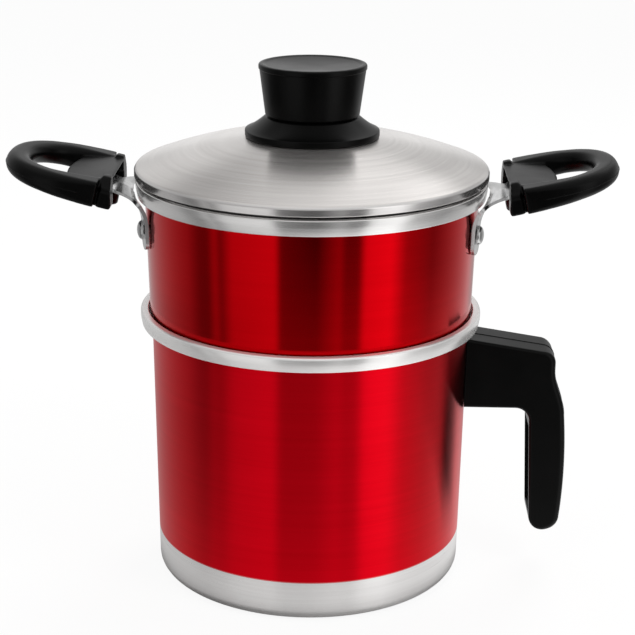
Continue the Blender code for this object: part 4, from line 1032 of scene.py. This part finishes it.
# Steam plate: holes in rings of six, twelve and eighteen
plate = {"radius": 70.6, "low": 122.4, "thick": 1.5, "hole": 3.0, "rings": 3, "step": 16.0, "centre": 2.3,
         "edge": 0.3, "holeSteps": 28, "rimSteps": 224}
plateKnob = {"height": 12, "crown": 5.3, "head": 7.0, "headLow": 6.6, "neck": 3.3, "stem": 3.1, "foot": 4.0,
             "shank": 2.0, "tail": 3.4, "tailEnd": 2.7, "tailHeight": 1.2, "gap": 0.3}


def perforatedTree():
    tree = bpy.data.node_groups.new("perforated plate", 'GeometryNodeTree')
    graph, given = sockets(tree, [("Radius", 'Float'), ("Thickness", 'Float'), ("Hole", 'Float'),
                                  ("Rings", 'Int'), ("Step", 'Float'), ("Centre", 'Float'),
                                  ("Finish", 'Material')])
    rings = given.out("Rings")
    index = graph.add('GeometryNodeInputIndex')
    ring = ((index * 12 + 9.5) ** 0.5 + 3) * (1 / 6)  # ring n begins at point 3 n (n - 1)
    ring = ring.sum('FLOOR', ring)
    turn = (index - ring * (ring - 1) * 3) * (math.pi / 3) * ring ** -1
    away = ring * given.out("Step")
    spot = graph.add('ShaderNodeCombineXYZ', inputs={0: away * turn.sum('COSINE', turn),
                                                     1: away * turn.sum('SINE', turn)})
    points = graph.add('GeometryNodePoints', inputs={"Count": rings * (rings + 1) * 3, "Position": spot})
    hole = graph.circle(given.out("Hole"), plate["holeSteps"])
    holes = graph.add('GeometryNodeInstanceOnPoints', inputs={"Points": points, "Instance": hole})
    holes = graph.realized(holes)
    middle = graph.circle(given.out("Centre"), plate["holeSteps"])
    rim = graph.circle(given.out("Radius"), plate["rimSteps"])
    curves = graph.add('GeometryNodeJoinGeometry', inputs={0: rim})
    for more in (middle, holes):
        tree.links.new(more.socket, curves.node.inputs[0])
    sheet = graph.add('GeometryNodeFillCurve', inputs={0: curves})
    thickness = given.out("Thickness")
    raised = graph.add('GeometryNodeExtrudeMesh', inputs={"Mesh": sheet, "Offset Scale": thickness,
                                                          "Individual": False})
    under = graph.add('GeometryNodeFlipFaces', inputs={0: sheet})
    both = graph.add('GeometryNodeJoinGeometry', inputs={0: raised})
    tree.links.new(under.socket, both.node.inputs[0])
    both = graph.add('GeometryNodeMergeByDistance', inputs={"Geometry": both, "Distance": 0.001})
    both = graph.painted(graph.realized(both), given.out("Finish"))
    graph.add('NodeGroupOutput', inputs={"Geometry": both})
    return tree


plateLive = withTree("steamPlate", bpy.data.meshes.new("steamPlate"), perforatedTree(), {
    "Radius": plate["radius"], "Thickness": plate["thick"], "Hole": plate["hole"], "Rings": plate["rings"],
    "Step": plate["step"], "Centre": plate["centre"], "Finish": insideBare})
plateMesh = shaded(rounded(facingOut(plainMesh(plateLive)), plate["edge"], 2))
finished("steamPlate", moved(plateMesh, Matrix.Translation((0, 0, plate["low"]))), "steam_plate",
         ["steam_plate"], insideBare)
plateTop = plate["low"] + plate["thick"] + plateKnob["gap"]
crown, tailTop = plateTop + plateKnob["height"], plate["low"] - plateKnob["gap"]
tailLow = tailTop - plateKnob["tailHeight"]
plateKnobProfile = [(0, crown, 0), (plateKnob["crown"], crown - 0.6, 3.0),
                    (plateKnob["head"], crown - 2.4, 1.0),
                    (plateKnob["head"], plateTop + plateKnob["headLow"], 0.6),
                    (plateKnob["neck"], plateTop + 5.2, 1.2), (plateKnob["stem"], plateTop + 1.2, 0.9),
                    (plateKnob["foot"], plateTop, 0.2), (plateKnob["shank"], plateTop, 0),
                    (plateKnob["shank"], tailTop, 0), (plateKnob["tail"], tailTop, 0.15),
                    (plateKnob["tailEnd"], tailLow, 0.4), (0, tailLow, 0)]
plateKnobMesh = turned("plateKnob", plateKnobProfile, False, 64, insideBare, bends=6)
finished("plateKnob", plateKnobMesh, "steam_plate", ["plate_knob"])
print("steam plate made")

# Stage, lamps and camera
# The floor seen in the metal is a painted reflection: a glow with painted light to the right and a painted
# shadow near the pot
stage = {"floor": 3.0, "drop": 0.0002, "white": 0.92, "roughness": 0.9, "shadowless": 0.9, "skyLevel": 0.78,
         "top": 0.82, "table": 0.85, "tablePaintedLightRightward": 1.1, "paintedFloorReflection": 0.76, "floorPaintedLightRightward": 2.2,
         "darkest": 0.04, "paintedShadowUnderPot": (0.07, 0.083)}
# Reflected studio by direction, in degrees round the pot from the front: panels with dark gaps between them
# at the horizon, a softer ring above it, and a high one whose two back panels streak the lid
lowPanels = [(-180, 1.2), (-170, 0.88), (-163, 0.5), (-120, 0.42), (-95, 0.33), (-84, 0.16), (-76, 0.15),
             (-70, 0.44), (-65, 0.18), (-56, 0.6), (-24, 0.74), (-20, 0.13), (6, 0.03), (22, 0.32),
             (26, 0.12), (36, 0.12), (41, 0.92), (60, 1.12), (72, 0.4), (96, 0.2), (112, 0.34), (150, 0.66),
             (166, 0.42), (176, 1.0)]
middlePanels = [(-180, 0.6), (-163, 0.7), (-120, 0.5), (-85, 0.3), (-60, 0.4), (-40, 0.5), (36, 0.55),
                (42, 1.3), (60, 1.2), (70, 0.6), (90, 0.4), (150, 0.45), (160, 0.8), (167, 0.45),
                (173, 0.7), (180, 0.6)]
highPanels = [(-180, 0.85), (-165, 0.33), (-140, 0.33), (0, 0.5), (110, 0.8), (150, 1.3), (160, 1.5),
              (166, 0.8), (171, 1.2), (177, 1.1), (180, 0.85)]
# Heights between which the softer ring, the high ring, the top and the table take over: 1 is straight up
takeovers = [(0.05, 0.3), (0.45, 0.65), (0.65, 0.95), (-0.55, -0.8)]
# How much of the floor's painted reflection shows in the metal, by metres from the axis
nearFloor = [(0.1, 0.8), (0.16, 0.4), (0.27, 0.25), (0.36, 0.08), (0.41, 0.0)]


def buildWorld():
    world = bpy.data.worlds.new("studio")
    world.use_nodes = True
    bpy.context.scene.world = world
    world.node_tree.nodes.clear()
    graph = Graph(world.node_tree)
    heading = graph.add('ShaderNodeTexCoord', output="Generated")
    parts = graph.add('ShaderNodeSeparateXYZ', inputs={0: heading})
    turn = parts.sum('ARCTAN2', parts, parts.out(1) * -1.0) * (0.5 / math.pi) + 0.5
    low, middle, high = (graph.ramp([((degrees + 180) / 360, level) for degrees, level in ring], turn)
                         for ring in (lowPanels, middlePanels, highPanels))
    # the table below the horizon has painted light, brighter to the right where the key lamp stands
    table = stage["table"] + parts * stage["tablePaintedLightRightward"]
    table = table.sum('MAXIMUM', table, stage["darkest"])
    seen = low
    height = parts.out(2)
    for (start, end), further in zip(takeovers, (middle, high, stage["top"], table)):
        seen = graph.mix(graph.ease(height, start, end), seen, further)
    path = graph.add('ShaderNodeLightPath')
    light = graph.mix(path.out("Is Glossy Ray"), stage["skyLevel"], seen)
    light = graph.mix(path.out("Is Camera Ray"), light, 1.0)
    back = graph.add('ShaderNodeBackground', inputs={"Color": light, "Strength": 1.0})
    graph.add('ShaderNodeOutputWorld', inputs={"Surface": back})


def buildFloor():  # white to the camera but for a faint shadow
    shape = bmesh.new()
    bmesh.ops.create_grid(shape, x_segments=1, y_segments=1, size=stage["floor"])
    mesh = moved(toMesh("floor", shape), Matrix.Translation((0, 0, -stage["drop"])))
    floor = linked("floor", mesh)
    material = bpy.data.materials.new("white floor")
    material.use_nodes = True
    graph = Graph(material.node_tree)
    shader = material.node_tree.nodes["Principled BSDF"]
    graph.fill(shader, {"Base Color": rgba(stage["white"]), "Roughness": stage["roughness"],
                        "Specular IOR Level": 0.0})
    path = graph.add('ShaderNodeLightPath')
    bare = graph.blend(path.out("Is Camera Ray") * stage["shadowless"], Wire(graph, shader), graph.glow(1.0))
    # Seen in the metal the floor is a painted reflection, not the lit floor: a glow that grows brighter to
    # the right as painted light and fades to dark near the pot as a painted shadow
    x, y, _ = graph.place()
    distance = (x * x + y * y) ** 0.5
    level = (stage["paintedFloorReflection"] + x * stage["floorPaintedLightRightward"]) * graph.ease(distance, *stage["paintedShadowUnderPot"])
    near = graph.glow(level.sum('MAXIMUM', level, stage["darkest"]))
    far = graph.add('ShaderNodeBsdfTransparent')
    paintedFloorReflection = graph.blend(graph.ramp(nearFloor, distance), far, near)
    both = graph.blend(path.out("Is Glossy Ray"), bare, paintedFloorReflection)
    graph.fill(material.node_tree.nodes["Material Output"], {"Surface": both})
    mesh.materials.append(material)


lamps = {"key": {"from": (0.76, -0.59, 1.05), "size": 0.36, "power": 3.5},
         "back": {"from": (0.35, 0.7, 0.95), "size": 0.45, "power": 5.0},
         "left": {"from": (-0.55, -0.8, 0.75), "size": 0.4, "power": 1.0}}
lampAim = Vector((0, 0, 0.12))


def buildLamp(name, lamp):
    light = bpy.data.lights.new(name, 'AREA')
    light.shape = 'SQUARE'
    light.size = lamp["size"]
    light.energy = lamp["power"]
    made = linked(name, light)
    made.visible_glossy = False
    spot = Vector(lamp["from"])
    aim = (lampAim - spot).to_track_quat('-Z', 'Y')
    made.matrix_world = Matrix.Translation(spot) @ aim.to_matrix().to_4x4()


# Camera fitted to the photograph: focal length in its pixels, metres, radians, and degrees round the pot
shot = {"focal": 1711.638, "pixels": 635, "sensor": 36, "away": 0.750, "height": 0.360374,
        "tilt": 0.3118857, "pan": 0.0042744, "roll": 0.0107049, "round": 1.6}


def buildCamera():
    camera = bpy.data.cameras.new("camera")
    camera.sensor_width = shot["sensor"]
    camera.lens = shot["focal"] * shot["sensor"] / shot["pixels"]
    made = linked("camera", camera)
    tilt, pan, roll = shot["tilt"], shot["pan"], shot["roll"]
    ahead = Vector((math.sin(pan) * math.cos(tilt), math.cos(pan) * math.cos(tilt), -math.sin(tilt)))
    right = Vector((math.cos(pan), -math.sin(pan), 0))
    up = right.cross(ahead)
    across = right * math.cos(roll) + up * math.sin(roll)
    top = up * math.cos(roll) - right * math.sin(roll)
    pose = Matrix((across, top, -ahead)).transposed().to_4x4()
    pose.translation = (0, -shot["away"], shot["height"])
    made.matrix_world = Matrix.Rotation(math.radians(shot["round"]), 4, 'Z') @ pose
    bpy.context.scene.camera = made


buildWorld()
buildFloor()
for lampName, lampSettings in lamps.items():
    buildLamp(lampName, lampSettings)
buildCamera()
bpy.context.scene.view_settings.view_transform = 'Standard'
print("stage made")

hiddenMetals = {"pot_handle_bracket": bracketMetal, "knob_insert": insertBrass, "knob_washer": boltSteel}
for nodeName, finish in hiddenMetals.items():
    for slot in cadNodes[nodeName].material_slots:
        slot.material = finish
